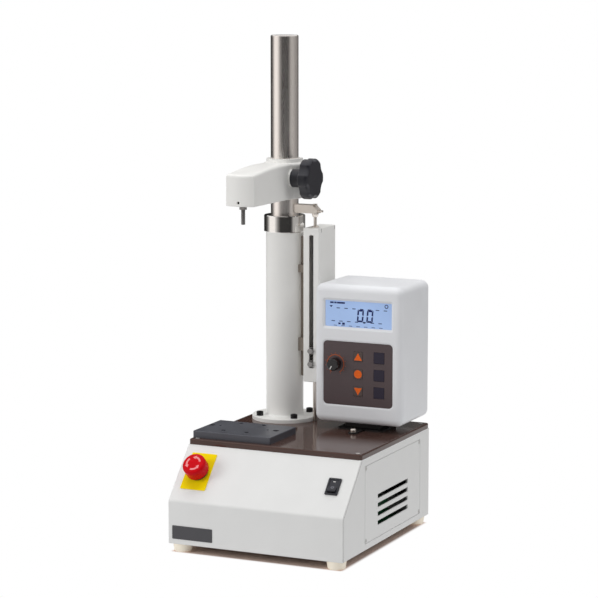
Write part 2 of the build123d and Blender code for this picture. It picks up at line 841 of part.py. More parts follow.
# Drive nut in the foot of the column, its flange guided by the tube bore
with BuildPart() as drive_nut:
    with Locations((column_x, column_y, nut_bottom)):
        Cylinder(tube_bore_radius - run_clearance, nut_flange_thickness, align=up_min)
        Cylinder(column_bore_radius - seat_clearance, nut_flange_thickness + nut_spigot, align=up_min)
        Cylinder(
            screw_thread_radius + run_clearance,
            nut_flange_thickness + nut_spigot,
            align=up_min,
            mode=Mode.SUBTRACT,
        )
drive_nut.part.label = "drive_nut"
export_step(drive_nut.part, "parts/drive_nut.step")

# Bearing housing hung under the top plate
housing_bottom = plate_bottom - housing_body_height
with BuildPart() as bearing_housing:
    with Locations((column_x, column_y, plate_bottom)):
        Cylinder(housing_flange_radius, housing_flange_thickness, align=down_max)
        Cylinder(bearing_outer_radius + housing_wall, housing_body_height, align=down_max)
        Cylinder(housing_spigot_radius, plate_thickness + housing_spigot_height, align=up_min)
    with Locations((column_x, column_y, housing_bottom)):
        Cylinder(
            bearing_outer_radius + seat_clearance, housing_body_height, align=up_min, mode=Mode.SUBTRACT
        )
        Cylinder(
            screw_thread_radius + 2 * fit_gap,
            housing_body_height + plate_thickness + housing_spigot_height,
            align=up_min,
            mode=Mode.SUBTRACT,
        )
    with Locations((column_x, column_y, plate_bottom)):
        with PolarLocations(flange_bolt_distance, 4, flange_bolt_angle):
            Cylinder(bolt_radius + fit_gap, housing_flange_thickness, align=down_max, mode=Mode.SUBTRACT)
bearing_housing.part.label = "bearing_housing"
export_step(bearing_housing.part, "parts/bearing_housing.step")

# Two bearings of the lead screw
upper_bearing_z = plate_bottom - bearing_width
lower_bearing_z = upper_bearing_z - bearing_spacing
with BuildPart() as screw_bearings:
    with Locations((column_x, column_y, upper_bearing_z), (column_x, column_y, lower_bearing_z)):
        Cylinder(bearing_outer_radius, bearing_width, align=up_min)
        Cylinder(screw_journal_radius + seat_clearance, bearing_width, align=up_min, mode=Mode.SUBTRACT)
screw_bearings.part.label = "screw_bearings"
export_step(screw_bearings.part, "parts/screw_bearings.step")

# Lead screw with the journal through the bearings and the pulley
with BuildPart() as lead_screw:
    with Locations((column_x, column_y, plate_bottom)):
        Cylinder(screw_thread_radius, screw_top - plate_bottom, align=up_min)
        Cylinder(screw_journal_radius, plate_bottom - pulley_bottom, align=down_max)
    chamfer(lead_screw.edges().group_by(Axis.Z)[-1], screw_lead_in)
lead_screw.part.label = "lead_screw"
export_step(lead_screw.part, "parts/lead_screw.step")

# Toothed pulley on the lead screw
with BuildPart() as screw_pulley:
    with Locations((column_x, column_y, pulley_bottom)):
        Cylinder(screw_pulley_radius, pulley_width, align=up_min)
        with PolarLocations(screw_pulley_radius, screw_pulley_teeth):
            Cylinder(pulley_tooth_radius, pulley_width, align=up_min, mode=Mode.SUBTRACT)
        Cylinder(screw_pulley_radius + pulley_flange_extra, pulley_flange, align=up_min)
    with Locations((column_x, column_y, pulley_bottom + pulley_width)):
        Cylinder(screw_pulley_radius + pulley_flange_extra, pulley_flange, align=down_max)
    with Locations((column_x, column_y, pulley_bottom)):
        Cylinder(
            screw_journal_radius + seat_clearance, pulley_width, align=up_min, mode=Mode.SUBTRACT
        )
screw_pulley.part.label = "screw_pulley"
export_step(screw_pulley.part, "parts/screw_pulley.step")

# Motor hung under the top plate, shaft downwards
with BuildPart() as motor_body:
    with Locations((motor_x, motor_y, motor_bottom)):
        Box(motor_size, motor_size, motor_height, align=up_min)
    chamfer(motor_body.edges().filter_by(Axis.Z), motor_corner)
    with Locations((motor_x, motor_y, motor_bottom)):
        Cylinder(motor_pilot_radius, motor_pilot_height, align=down_max)
    with Locations((motor_x, motor_y, motor_bottom - motor_pilot_height)):
        Cylinder(
            motor_shaft_radius + run_clearance, motor_height / 2, align=up_min, mode=Mode.SUBTRACT
        )
motor_body.part.label = "motor_body"
export_step(motor_body.part, "parts/motor_body.step")

# Motor shaft
with BuildPart() as motor_shaft:
    with Locations((motor_x, motor_y, pulley_bottom)):
        Cylinder(
            motor_shaft_radius,
            motor_bottom - motor_pilot_height + motor_height / 2 - pulley_bottom - fit_gap,
            align=up_min,
        )
motor_shaft.part.label = "motor_shaft"
export_step(motor_shaft.part, "parts/motor_shaft.step")

# Toothed pulley on the motor shaft
with BuildPart() as motor_pulley:
    with Locations((motor_x, motor_y, pulley_bottom)):
        Cylinder(motor_pulley_radius, pulley_width, align=up_min)
        with PolarLocations(motor_pulley_radius, motor_pulley_teeth):
            Cylinder(pulley_tooth_radius, pulley_width, align=up_min, mode=Mode.SUBTRACT)
        Cylinder(motor_pulley_radius + pulley_flange_extra, pulley_flange, align=up_min)
    with Locations((motor_x, motor_y, pulley_bottom + pulley_width)):
        Cylinder(motor_pulley_radius + pulley_flange_extra, pulley_flange, align=down_max)
    with Locations((motor_x, motor_y, pulley_bottom)):
        Cylinder(
            motor_shaft_radius + seat_clearance, pulley_width, align=up_min, mode=Mode.SUBTRACT
        )
motor_pulley.part.label = "motor_pulley"
export_step(motor_pulley.part, "parts/motor_pulley.step")

# Belt round both pulleys
belt_z = pulley_bottom + (pulley_width - belt_width) / 2
with BuildSketch(Plane.XY.offset(belt_z)) as belt_path:
    with Locations((column_x, column_y)):
        Circle(screw_pulley_radius + belt_gap)
    with Locations((motor_x, motor_y)):
        Circle(motor_pulley_radius + belt_gap)
    make_hull()
with BuildPart() as drive_belt:
    with BuildSketch(Plane.XY.offset(belt_z)):
        add(belt_path.sketch_local)
        offset(amount=belt_thickness)
        add(belt_path.sketch_local, mode=Mode.SUBTRACT)
    extrude(amount=belt_width)
drive_belt.part.label = "drive_belt"
export_step(drive_belt.part, "parts/drive_belt.step")

# Drive electronics board on the tray
board_top = tray_top + supply_standoff + supply_board
supply_left = supply_x - supply_width / 2 + supply_margin
supply_right = supply_x + supply_width / 2 - supply_margin
supply_near = supply_y - supply_depth / 2 + supply_margin
supply_far = supply_y + supply_depth / 2 - supply_margin
capacitor_y = supply_far - capacitor_radius
with BuildPart() as drive_electronics:
    with Locations((supply_x, supply_y, tray_top + supply_standoff)):
        Box(supply_width, supply_depth, supply_board, align=up_min)
    with Locations((supply_x, supply_y, tray_top)):
        with GridLocations(supply_width - 2 * supply_margin, supply_depth - 2 * supply_margin, 2, 2):
            Cylinder(supply_post_radius, supply_standoff, align=up_min)
    with Locations((supply_left + converter_width / 2, supply_near + converter_depth / 2, board_top)):
        Box(converter_width, converter_depth, converter_height, align=up_min)
    with Locations((supply_right - sink_width / 2, supply_y, board_top)):
        Box(sink_width, sink_depth, sink_height, align=up_min)
    with Locations(
        (supply_left + capacitor_radius, capacitor_y, board_top),
        (supply_left + 3 * capacitor_radius + capacitor_gap, capacitor_y, board_top),
    ):
        Cylinder(capacitor_radius, capacitor_height, align=up_min)
drive_electronics.part.label = "drive_electronics"
export_step(drive_electronics.part, "parts/drive_electronics.step")

# Striker arm on the side of the column, with the pinch screw of the rod
with BuildPart() as striker_arm:
    with Locations(((column_x + striker_end) / 2, column_y, striker_bottom)):
        Box(striker_end - column_x, striker_width, striker_height, align=up_min)
    tip = striker_arm.edges().filter_by(Axis.Y).group_by(Axis.X)[-1].sort_by(Axis.Z)[-1]
    chamfer(tip, striker_chamfer)
    with Locations((column_x, column_y, striker_bottom)):
        Cylinder(
            column_radius + seat_clearance, striker_height, align=up_min, mode=Mode.SUBTRACT
        )
    with Locations((rod_x, rod_y, striker_bottom)):
        Cylinder(rod_radius + seat_clearance, striker_height, align=up_min, mode=Mode.SUBTRACT)
    with BuildSketch(Plane.YZ.offset(striker_end)):
        with Locations((rod_y, striker_bottom + 2 * pinch_radius)):
            Circle(pinch_radius)
    extrude(amount=pinch_length)
striker_arm.part.label = "striker_arm"
export_step(striker_arm.part, "parts/striker_arm.step")

# Limit rod that follows the column, with the dog the stops sense
dog_z = (stop_upper_z + stop_lower_z - dog_height) / 2
rod_neck_bottom = limit_z_max + rod_neck_end_gap
rod_neck_length = striker_bottom - rod_neck_end_gap - rod_neck_bottom
with BuildPart() as limit_rod:
    with Locations((rod_x, rod_y, rod_bottom)):
        Cylinder(rod_radius, rod_top - rod_bottom, align=up_min)
    with Locations((rod_x, rod_y, dog_z)):
        Cylinder(dog_radius, dog_height, align=up_min)
    with Locations((rod_x, rod_y, rod_neck_bottom)):
        Cylinder(rod_radius + fit_gap, rod_neck_length, align=up_min, mode=Mode.SUBTRACT)
        Cylinder(rod_neck_radius, rod_neck_length, align=up_min)
limit_rod.part.label = "limit_rod"
export_step(limit_rod.part, "parts/limit_rod.step")

# Limit housing, a slotted channel open to the rear
limit_x = (limit_x_min + limit_x_max) / 2
limit_z = (limit_z_min + limit_z_max) / 2
with BuildPart() as limit_housing:
    with Locations((limit_x, limit_y_min, limit_z_min)):
        Box(
            limit_width,
            limit_depth,
            limit_z_max - limit_z_min,
            align=(Align.CENTER, Align.MIN, Align.MIN),
        )
    fillet(limit_housing.edges().filter_by(Axis.Y), limit_edge)
    fillet(limit_housing.faces().sort_by(Axis.Y)[0].edges(), limit_edge)
    with Locations((limit_x, limit_y_min + limit_wall, limit_z_min + limit_wall)):
        Box(
            limit_width - 2 * limit_wall,
            limit_depth - limit_wall,
            limit_z_max - limit_z_min - 2 * limit_wall,
            align=(Align.CENTER, Align.MIN, Align.MIN),
            mode=Mode.SUBTRACT,
        )
    with Locations((rod_x, rod_y, limit_z_min)):
        Cylinder(
            rod_radius + rod_guide_clearance,
            limit_z_max - limit_z_min,
            align=up_min,
            mode=Mode.SUBTRACT,
        )
    with BuildSketch(Plane.XZ.offset(-limit_y_min)):
        with Locations((slot_x, (slot_z_min + slot_z_max) / 2)):
            RectangleRounded(slot_width, slot_z_max - slot_z_min, slot_corner)
    extrude(amount=-limit_wall, mode=Mode.SUBTRACT)
limit_housing.part.label = "limit_housing"
export_step(limit_housing.part, "parts/limit_housing.step")

# Rear cover of the limit housing
with BuildPart() as limit_cover:
    with Locations((limit_x, limit_y_max, limit_z)):
        Box(
            limit_width - 2 * (limit_wall + fit_gap),
            limit_wall,
            limit_z_max - limit_z_min - 2 * (limit_wall + fit_gap),
            align=(Align.CENTER, Align.MAX, Align.CENTER),
        )
limit_cover.part.label = "limit_cover"
export_step(limit_cover.part, "parts/limit_cover.step")

# Two brackets joined by a rail, between the tube and the limit housing
with BuildPart() as limit_brackets:
    for centre_z, height in zip(bracket_z, bracket_heights):
        with Locations((column_x, column_y, centre_z)):
            Box(
                limit_x_min - column_x,
                bracket_width,
                height,
                align=(Align.MIN, Align.CENTER, Align.CENTER),
            )
    with Locations((column_x, column_y, limit_z_min + rail_end_gap)):
        Box(
            limit_x_min - column_x,
            rail_thickness,
            collar_bottom - rail_end_gap - limit_z_min - rail_end_gap,
            align=(Align.MIN, Align.CENTER, Align.MIN),
        )
    with Locations((column_x, column_y, limit_z_min)):
        Cylinder(
            tube_radius + seat_clearance,
            limit_z_max - limit_z_min,
            align=up_min,
            mode=Mode.SUBTRACT,
        )
limit_brackets.part.label = "limit_brackets"
export_step(limit_brackets.part, "parts/limit_brackets.step")

# The two adjustable stops, each a block with a tongue in the slot and a thumb head
for stop_name, stop_z in (("upper_stop", stop_upper_z), ("lower_stop", stop_lower_z)):
    with BuildPart() as limit_stop:
        with Locations((slot_x, limit_y_min + limit_wall + slide_clearance, stop_z)):
            Box(
                stop_block_width,
                stop_block_depth,
                stop_block_height,
                align=(Align.CENTER, Align.MIN, Align.CENTER),
            )
        with Locations((slot_x, limit_y_min + limit_wall + slide_clearance, stop_z)):
            Box(
                slot_width - 2 * slide_clearance,
                limit_wall + 2 * slide_clearance,
                stop_head_radius,
                align=(Align.CENTER, Align.MAX, Align.CENTER),
            )
        with BuildSketch(Plane.XZ.offset(-(limit_y_min - slide_clearance))):
            with Locations((slot_x, stop_z)):
                Circle(stop_head_radius)
        extrude(amount=stop_head_length)
        chamfer(limit_stop.faces().sort_by(Axis.Y)[0].edges(), stop_edge)
    limit_stop.part.label = stop_name
    export_step(limit_stop.part, "parts/" + stop_name + ".step")

# Arm casting, a bar with a curved nose that grows into the clamp hub
hub_top = arm_bottom + arm_hub_height
nose_top = arm_bottom + arm_nose_height
rise_y = arm_nose_y + (column_y - arm_nose_y) / 3
level_y = arm_nose_y + 2 * (column_y - arm_nose_y) / 3
arm_left = column_x - arm_half_width
arm_right = column_x + arm_half_width
with BuildPart() as arm_casting:
    with BuildSketch(Plane.XY.offset(arm_bottom)) as plan:
        with BuildLine():
            Polyline(
                (arm_left, arm_edge_y),
                (arm_left, column_y),
                (arm_right, column_y),
                (arm_right, arm_edge_y),
            )
            ThreePointArc((arm_right, arm_edge_y), (column_x, arm_nose_y), (arm_left, arm_edge_y))
        make_face()
        with Locations((column_x, column_y)):
            Circle(hub_radius)
        inner = plan.vertices().filter_by(
            lambda v: arm_edge_y + hub_blend < v.Y < column_y and abs(v.X - column_x) > arm_half_width / 2
        )
        fillet(inner, hub_blend)
    extrude(amount=arm_hub_height + hub_ring_height)
    with BuildSketch(Plane.YZ):
        with BuildLine():
            Spline(
                (arm_nose_y - arm_overrun, nose_top),
                (rise_y, nose_top + arm_rise_share * (hub_top - nose_top)),
                (level_y, hub_top),
                tangents=((1, arm_rise_slope), (1, 0)),
            )
            Polyline(
                (level_y, hub_top),
                (column_y + hub_radius + arm_overrun, hub_top),
                (column_y + hub_radius + arm_overrun, arm_bottom),
                (arm_nose_y - arm_overrun, arm_bottom),
                (arm_nose_y - arm_overrun, nose_top),
            )
        make_face()
    extrude(amount=2 * hub_radius - column_x, both=True, mode=Mode.INTERSECT)
    top_edges = arm_casting.edges().filter_by(
        lambda e: e.center().Z > nose_top - arm_overrun and e.length > arm_overrun
    )
    outline = top_edges.filter_by(
        lambda e: abs(e.center().Y - column_y) > fit_gap or e.center().Z > hub_top - arm_overrun
    )
    crossing = arm_casting.edges().filter_by(Axis.X)
    fillet([e for e in outline if e not in crossing], arm_edge_fillet)
    fillet(arm_casting.faces().sort_by(Axis.Z)[0].edges(), arm_lower_fillet)
    with Locations((column_x, column_y, hub_top)):
        Cylinder(hub_ring_radius, hub_ring_height, align=up_min)
    with Locations((column_x, column_y, arm_bottom)):
        Cylinder(
            column_radius + arm_bore_clearance,
            arm_hub_height + hub_ring_height,
            align=up_min,
            mode=Mode.SUBTRACT,
        )
    with Locations((test_x, test_y, arm_bottom)):
        Cylinder(stud_core_radius + seat_clearance, stud_depth, align=up_min, mode=Mode.SUBTRACT)
    with BuildSketch(Plane.XZ.offset(-arm_nose_y)):
        with Locations((test_x, set_screw_z)):
            Circle(set_screw_radius)
    extrude(amount=-set_screw_depth, mode=Mode.SUBTRACT)
    with BuildSketch(Plane.YZ.offset(arm_right)):
        with Locations((clamp_y, clamp_z)):
            Circle(cotter_radius + seat_clearance)
    extrude(amount=-(2 * arm_half_width - wall), mode=Mode.SUBTRACT)
    with BuildSketch(Plane.YZ.offset(arm_right)):
        with Locations((clamp_y, clamp_z)):
            Circle(knob_stem_radius + spot_face_gap)
    extrude(amount=hub_radius, mode=Mode.SUBTRACT)
    with BuildSketch(Plane.YZ.offset(arm_right)):
        with Locations((clamp_y, clamp_z)):
            Circle(knob_stem_radius - boss_inset)
            Circle(cotter_radius + seat_clearance, mode=Mode.SUBTRACT)
    extrude(amount=boss_height)
arm_casting.part.label = "arm_casting"
export_step(arm_casting.part, "parts/arm_casting.step")

# Cotters that close on the column when the knob is turned
with BuildPart() as clamp_cotters:
    with BuildSketch(Plane.YZ.offset(column_x + cotter_split / 2)):
        with Locations((clamp_y, clamp_z)):
            Circle(cotter_radius)
            Circle(clamp_screw_radius + seat_clearance, mode=Mode.SUBTRACT)
    extrude(amount=cotter_length)
    with BuildSketch(Plane.YZ.offset(column_x - cotter_split / 2)):
        with Locations((clamp_y, clamp_z)):
            Circle(cotter_radius)
            Circle(clamp_screw_radius + seat_clearance, mode=Mode.SUBTRACT)
    extrude(amount=-cotter_length)
    with Locations((column_x, column_y, arm_bottom)):
        Cylinder(
            column_radius + arm_bore_clearance, arm_hub_height, align=up_min, mode=Mode.SUBTRACT
        )
clamp_cotters.part.label = "clamp_cotters"
export_step(clamp_cotters.part, "parts/clamp_cotters.step")

# Clamp screw through both cotters
knob_start = arm_right + boss_height + slide_clearance
knob_head_start = knob_start + knob_stem_length
with BuildPart() as clamp_screw:
    with BuildSketch(Plane.YZ.offset(column_x - cotter_split / 2 - cotter_length)):
        with Locations((clamp_y, clamp_z)):
            Circle(clamp_screw_radius)
    extrude(amount=knob_head_start - (column_x - cotter_split / 2 - cotter_length))
clamp_screw.part.label = "clamp_screw"
export_step(clamp_screw.part, "parts/clamp_screw.step")

# Lobed clamp knob
with BuildPart() as clamp_knob:
    with BuildSketch(Plane.YZ.offset(knob_head_start)) as lobes:
        with Locations((clamp_y, clamp_z)):
            Circle(knob_head_radius)
            with PolarLocations(knob_notch_distance, knob_lobes, knob_notch_angle):
                Circle(knob_notch_radius, mode=Mode.SUBTRACT)
        fillet(lobes.vertices(), knob_edge)
    extrude(amount=knob_head_thickness)
    outer_face = clamp_knob.faces().sort_by(Axis.X)[-1]
    inner_face = clamp_knob.faces().sort_by(Axis.X)[0]
    fillet(outer_face.edges(), knob_crown)
    fillet(inner_face.edges(), knob_edge)
    with BuildSketch(Plane.YZ.offset(knob_start)):
        with Locations((clamp_y, clamp_z)):
            Circle(knob_stem_radius)
    extrude(amount=knob_stem_length)
    with BuildSketch(Plane.YZ.offset(knob_start)):
        with Locations((clamp_y, clamp_z)):
            Circle(clamp_screw_radius + seat_clearance)
    extrude(amount=knob_stem_length, mode=Mode.SUBTRACT)
clamp_knob.part.label = "clamp_knob"
export_step(clamp_knob.part, "parts/clamp_knob.step")

# Test stud and its lock nut under the arm
with BuildPart() as test_stud:
    with Locations((test_x, test_y, stud_tip)):
        Cylinder(stud_radius, arm_bottom - stud_nut_height - stud_tip, align=up_min)
    chamfer(test_stud.edges().group_by(Axis.Z)[0], stud_edge)
    with Locations((test_x, test_y, arm_bottom - stud_nut_height)):
        Cylinder(
            stud_core_radius,
            stud_nut_height + stud_depth - fit_gap,
            align=up_min,
        )
test_stud.part.label = "test_stud"
export_step(test_stud.part, "parts/test_stud.step")

with BuildPart() as stud_nut:
    with BuildSketch(Plane.XY.offset(arm_bottom)):
        with Locations((test_x, test_y)):
            RegularPolygon(stud_nut_flats / 2, 6, major_radius=False)
            Circle(stud_core_radius + seat_clearance, mode=Mode.SUBTRACT)
    extrude(amount=-stud_nut_height)
stud_nut.part.label = "stud_nut"
export_step(stud_nut.part, "parts/stud_nut.step")

# Legend plate of the emergency stop
with BuildPart() as estop_legend:
    with BuildSketch(estop_plane):
        RectangleRounded(legend_width, legend_height, legend_corner)
        Circle(estop_barrel_radius + fit_gap, mode=Mode.SUBTRACT)
    extrude(amount=legend_thickness)
estop_legend.part.label = "estop_legend"
export_step(estop_legend.part, "parts/estop_legend.step")

# Emergency stop body with its barrel, contact block and the ring nut behind the panel
estop_flange_top = legend_thickness + estop_flange_height
estop_stem_bottom = -estop_barrel_length + estop_travel + fit_gap
estop_skirt = legend_thickness + estop_travel + estop_press_gap
estop_cavity_top = estop_flange_top + estop_travel + estop_press_gap
estop_stem_top = estop_cavity_top + estop_head_height / 3
with BuildPart(estop_plane) as estop_body:
    with Locations((0, 0, legend_thickness)):
        Cylinder(estop_flange_radius, estop_flange_height, align=up_min)
        Cylinder(estop_barrel_radius, estop_barrel_length + legend_thickness, align=down_max)
    with Locations((0, 0, -estop_barrel_length)):
        Box(estop_block, estop_block, estop_block_length, align=down_max)
    with Locations((0, 0, estop_flange_top)):
        Cylinder(
            estop_stem_radius + estop_stem_clearance,
            estop_flange_top + estop_barrel_length,
            align=down_max,
            mode=Mode.SUBTRACT,
        )
    with BuildSketch(estop_plane.offset(-wall)):
        Circle(estop_nut_radius)
        Circle(estop_barrel_radius + fit_gap, mode=Mode.SUBTRACT)
    extrude(amount=-estop_nut_height)
estop_body.part.label = "estop_body"
export_step(estop_body.part, "parts/estop_body.step")

# Plunger of the emergency stop
with BuildPart(estop_plane) as estop_plunger:
    with Locations((0, 0, estop_stem_bottom)):
        Cylinder(estop_stem_radius, estop_stem_top - estop_stem_bottom, align=up_min)
estop_plunger.part.label = "estop_plunger"
export_step(estop_plunger.part, "parts/estop_plunger.step")

# Mushroom head that twists on the plunger
with BuildPart(estop_plane) as estop_head:
    with Locations((0, 0, estop_skirt)):
        Cylinder(estop_head_radius, estop_head_height, align=up_min)
    rims = estop_head.edges().filter_by(GeomType.CIRCLE).sort_by(Axis.Z)
    fillet(rims[-1], estop_head_fillet)
    fillet(rims[0], estop_skirt_edge)
    with Locations((0, 0, estop_skirt)):
        Cylinder(
            estop_flange_radius + estop_skirt_gap,
            estop_cavity_top - estop_skirt,
            align=up_min,
            mode=Mode.SUBTRACT,
        )
        Cylinder(
            estop_stem_radius + estop_stem_clearance,
            estop_stem_top - estop_skirt + estop_stem_clearance,
            align=up_min,
            mode=Mode.SUBTRACT,
        )
estop_head.part.label = "estop_head"
export_step(estop_head.part, "parts/estop_head.step")

# Rocker switch frame
with BuildPart() as rocker_frame:
    with BuildSketch(rocker_plane):
        RectangleRounded(rocker_bezel_width, rocker_bezel_height, rocker_corner)
    extrude(amount=rocker_bezel_thickness)
    bezel_faces = rocker_frame.faces().sort_by(lambda f: rocker_plane.to_local_coords(f).center().Z)
    chamfer(bezel_faces[-1].edges(), rocker_edge)
    with BuildSketch(rocker_plane):
        Rectangle(rocker_body_width, rocker_body_height)
    extrude(amount=-rocker_body_depth)
    with BuildSketch(rocker_plane.offset(rocker_bezel_thickness)):
        Rectangle(rocker_opening_width, rocker_opening_height)
    extrude(amount=-(rocker_opening_depth + rocker_bezel_thickness), mode=Mode.SUBTRACT)
    with BuildSketch(Plane(origin=rocker_plane.origin, x_dir=(0, 1, 0), z_dir=(1, 0, 0))):
        Circle(rocker_pin_radius + estop_stem_clearance)
    extrude(amount=rocker_opening_width / 2 + rocker_pin_length + fit_gap, both=True, mode=Mode.SUBTRACT)
rocker_frame.part.label = "rocker_frame"
export_step(rocker_frame.part, "parts/rocker_frame.step")

# Rocker paddle, resting with its upper end pressed in
paddle_plane = Plane(
    origin=rocker_plane.origin,
    x_dir=(
        0,
        math.cos(slope_angle - math.radians(rocker_tilt)),
        math.sin(slope_angle - math.radians(rocker_tilt)),
    ),
    z_dir=(1, 0, 0),
)
paddle_width = rocker_opening_width - 2 * slide_clearance
with BuildPart() as rocker_paddle:
    with BuildSketch(paddle_plane):
        with BuildLine():
            Polyline(
                (-rocker_half_length, rocker_end_height),
                (0, rocker_waist_height),
                (rocker_half_length, rocker_end_height),
                (rocker_half_length, rocker_side_height),
                (rocker_foot_half_length, -rocker_foot_depth),
                (-rocker_foot_half_length, -rocker_foot_depth),
                (-rocker_half_length, rocker_side_height),
                close=True,
            )
        make_face()
    extrude(amount=paddle_width / 2, both=True)
    with BuildSketch(paddle_plane):
        Circle(rocker_pin_radius)
    extrude(amount=rocker_opening_width / 2 + rocker_pin_length, both=True)
rocker_paddle.part.label = "rocker_paddle"
export_step(rocker_paddle.part, "parts/rocker_paddle.step")

# Controller case, open to the rear, with windows for display, keypad, keys and dial
with BuildPart() as controller_case:
    with Locations((ctrl_x, ctrl_front, ctrl_bottom)):
        Box(ctrl_width, ctrl_depth, ctrl_height, align=(Align.CENTER, Align.MIN, Align.MIN))
    fillet(controller_case.edges().filter_by(Axis.Y), ctrl_fillet)
    fillet(controller_case.faces().sort_by(Axis.Y)[0].edges(), ctrl_front_fillet)
    fillet(controller_case.faces().sort_by(Axis.Y)[-1].edges(), ctrl_rear_fillet)
    with BuildSketch(ctrl_plane.offset(-ctrl_front_wall)):
        with Locations((0, (ctrl_bottom + ctrl_top) / 2)):
            RectangleRounded(
                ctrl_width - 2 * ctrl_wall, ctrl_height - 2 * ctrl_wall, ctrl_fillet - ctrl_wall
            )
    extrude(amount=-ctrl_depth, mode=Mode.SUBTRACT)
    with BuildSketch(ctrl_plane):
        with Locations((0, keypad_z)):
            RectangleRounded(keypad_width + 2 * fit_gap, keypad_height + 2 * fit_gap, keypad_radius + fit_gap)
    extrude(amount=-keypad_recess, mode=Mode.SUBTRACT)
    with BuildSketch(ctrl_plane):
        with Locations((0, lcd_z)):
            RectangleRounded(lcd_width, lcd_height, lcd_corner)
        with Locations((dial_x, dial_z)):
            Circle(dial_shaft_radius + estop_stem_clearance)
        for x, z, size in key_spots:
            with Locations((x, z)):
                Rectangle(size, size)
    extrude(amount=-ctrl_front_wall, mode=Mode.SUBTRACT)
    with BuildSketch(ctrl_plane):
        with Locations((0, lcd_z)):
            RectangleRounded(lcd_width + 2 * lcd_bezel, lcd_height + 2 * lcd_bezel, lcd_corner + lcd_bezel)
    with BuildSketch(ctrl_plane.offset(-lcd_bezel_depth)):
        with Locations((0, lcd_z)):
            RectangleRounded(lcd_width, lcd_height, lcd_corner)
    loft(mode=Mode.SUBTRACT)
    with BuildSketch(ctrl_plane):
        with Locations((0, keypad_z)):
            RectangleRounded(
                keypad_width + 2 * keypad_bezel,
                keypad_height + 2 * keypad_bezel,
                keypad_radius + keypad_bezel,
            )
    with BuildSketch(ctrl_plane.offset(-keypad_bezel_depth)):
        with Locations((0, keypad_z)):
            RectangleRounded(keypad_width, keypad_height, keypad_radius)
    loft(mode=Mode.SUBTRACT)
controller_case.part.label = "controller_case"
export_step(controller_case.part, "parts/controller_case.step")

# Back cover of the controller
with BuildPart() as controller_back:
    with BuildSketch(ctrl_plane.offset(-ctrl_depth)):
        with Locations((0, (ctrl_bottom + ctrl_top) / 2)):
            RectangleRounded(
                ctrl_width - 2 * (ctrl_wall + fit_gap),
                ctrl_height - 2 * (ctrl_wall + fit_gap),
                ctrl_fillet - ctrl_wall - fit_gap,
            )
    extrude(amount=ctrl_wall)
controller_back.part.label = "controller_back"
export_step(controller_back.part, "parts/controller_back.step")

# Display module, its glass set back in the window
with BuildPart() as display_module:
    with BuildSketch(ctrl_plane.offset(-lcd_depth)):
        with Locations((0, lcd_z)):
            RectangleRounded(lcd_width - 2 * fit_gap, lcd_height - 2 * fit_gap, lcd_corner)
    extrude(amount=-(ctrl_front_wall - lcd_depth))
    with BuildSketch(ctrl_plane.offset(-ctrl_front_wall)):
        with Locations((0, lcd_z)):
            Rectangle(lcd_width + 2 * lcd_flange, lcd_height + 2 * lcd_flange)
    extrude(amount=-lcd_body)
display_module.part.label = "display_module"
export_step(display_module.part, "parts/display_module.step")

# Keypad overlay in the recess
with BuildPart() as keypad_overlay:
    with BuildSketch(ctrl_plane.offset(-keypad_recess)):
        with Locations((0, keypad_z)):
            RectangleRounded(keypad_width, keypad_height, keypad_radius)
        with Locations((dial_x, dial_z)):
            Circle(dial_shaft_radius + estop_stem_clearance, mode=Mode.SUBTRACT)
        for x, z, size in key_spots:
            with Locations((x, z)):
                Rectangle(size, size, mode=Mode.SUBTRACT)
    extrude(amount=keypad_thickness)
keypad_overlay.part.label = "keypad_overlay"
export_step(keypad_overlay.part, "parts/keypad_overlay.step")

# Six keys, each with a flange behind the front wall
key_flange_front = ctrl_front_wall + fit_gap
key_back = key_flange_front + key_flange
for key_name, (x, z, size) in zip(key_names, key_spots):
    with BuildPart() as key:
        with BuildSketch(ctrl_plane.offset(-key_front)):
            with Locations((x, z)):
                Rectangle(size - 2 * key_gap, size - 2 * key_gap)
        extrude(amount=-(key_back - key_front))
        with BuildSketch(ctrl_plane.offset(-key_flange_front)):
            with Locations((x, z)):
                Rectangle(size + 2 * key_flange_extra, size + 2 * key_flange_extra)
        extrude(amount=-key_flange)
        chamfer(key.faces().sort_by(Axis.Y)[0].edges(), key_edge)
    key.part.label = key_name
    export_step(key.part, "parts/" + key_name + ".step")

# Controller board with a switch behind each key and the dial potentiometer
switch_front = key_back + key_travel + switch_gap
with BuildPart() as controller_board:
    with BuildSketch(ctrl_plane.offset(-board_front)):
        with Locations((0, keypad_z)):
            Rectangle(board_width, board_height)
    extrude(amount=-board_thickness)
    with BuildSketch(ctrl_plane.offset(-ctrl_front_wall)):
        with Locations((0, keypad_z)):
            with GridLocations(board_width - 2 * board_post_inset, board_height - 2 * board_post_inset, 2, 2):
                Circle(board_post_radius)
    extrude(amount=-(board_front - ctrl_front_wall))
    with BuildSketch(ctrl_plane.offset(-switch_front)):
        for x, z, size in key_spots:
            with Locations((x, z)):
                Rectangle(size / 2, size / 2)
    extrude(amount=-(board_front - switch_front))
    with BuildSketch(ctrl_plane.offset(-(board_front - pot_height))):
        with Locations((dial_x, dial_z)):
            Circle(pot_radius)
    extrude(amount=-pot_height)
    with BuildSketch(ctrl_plane.offset(-(board_front - pot_height))):
        with Locations((dial_x, dial_z)):
            Circle(dial_shaft_radius + estop_stem_clearance)
    extrude(amount=-pot_height, mode=Mode.SUBTRACT)
controller_board.part.label = "controller_board"
export_step(controller_board.part, "parts/controller_board.step")

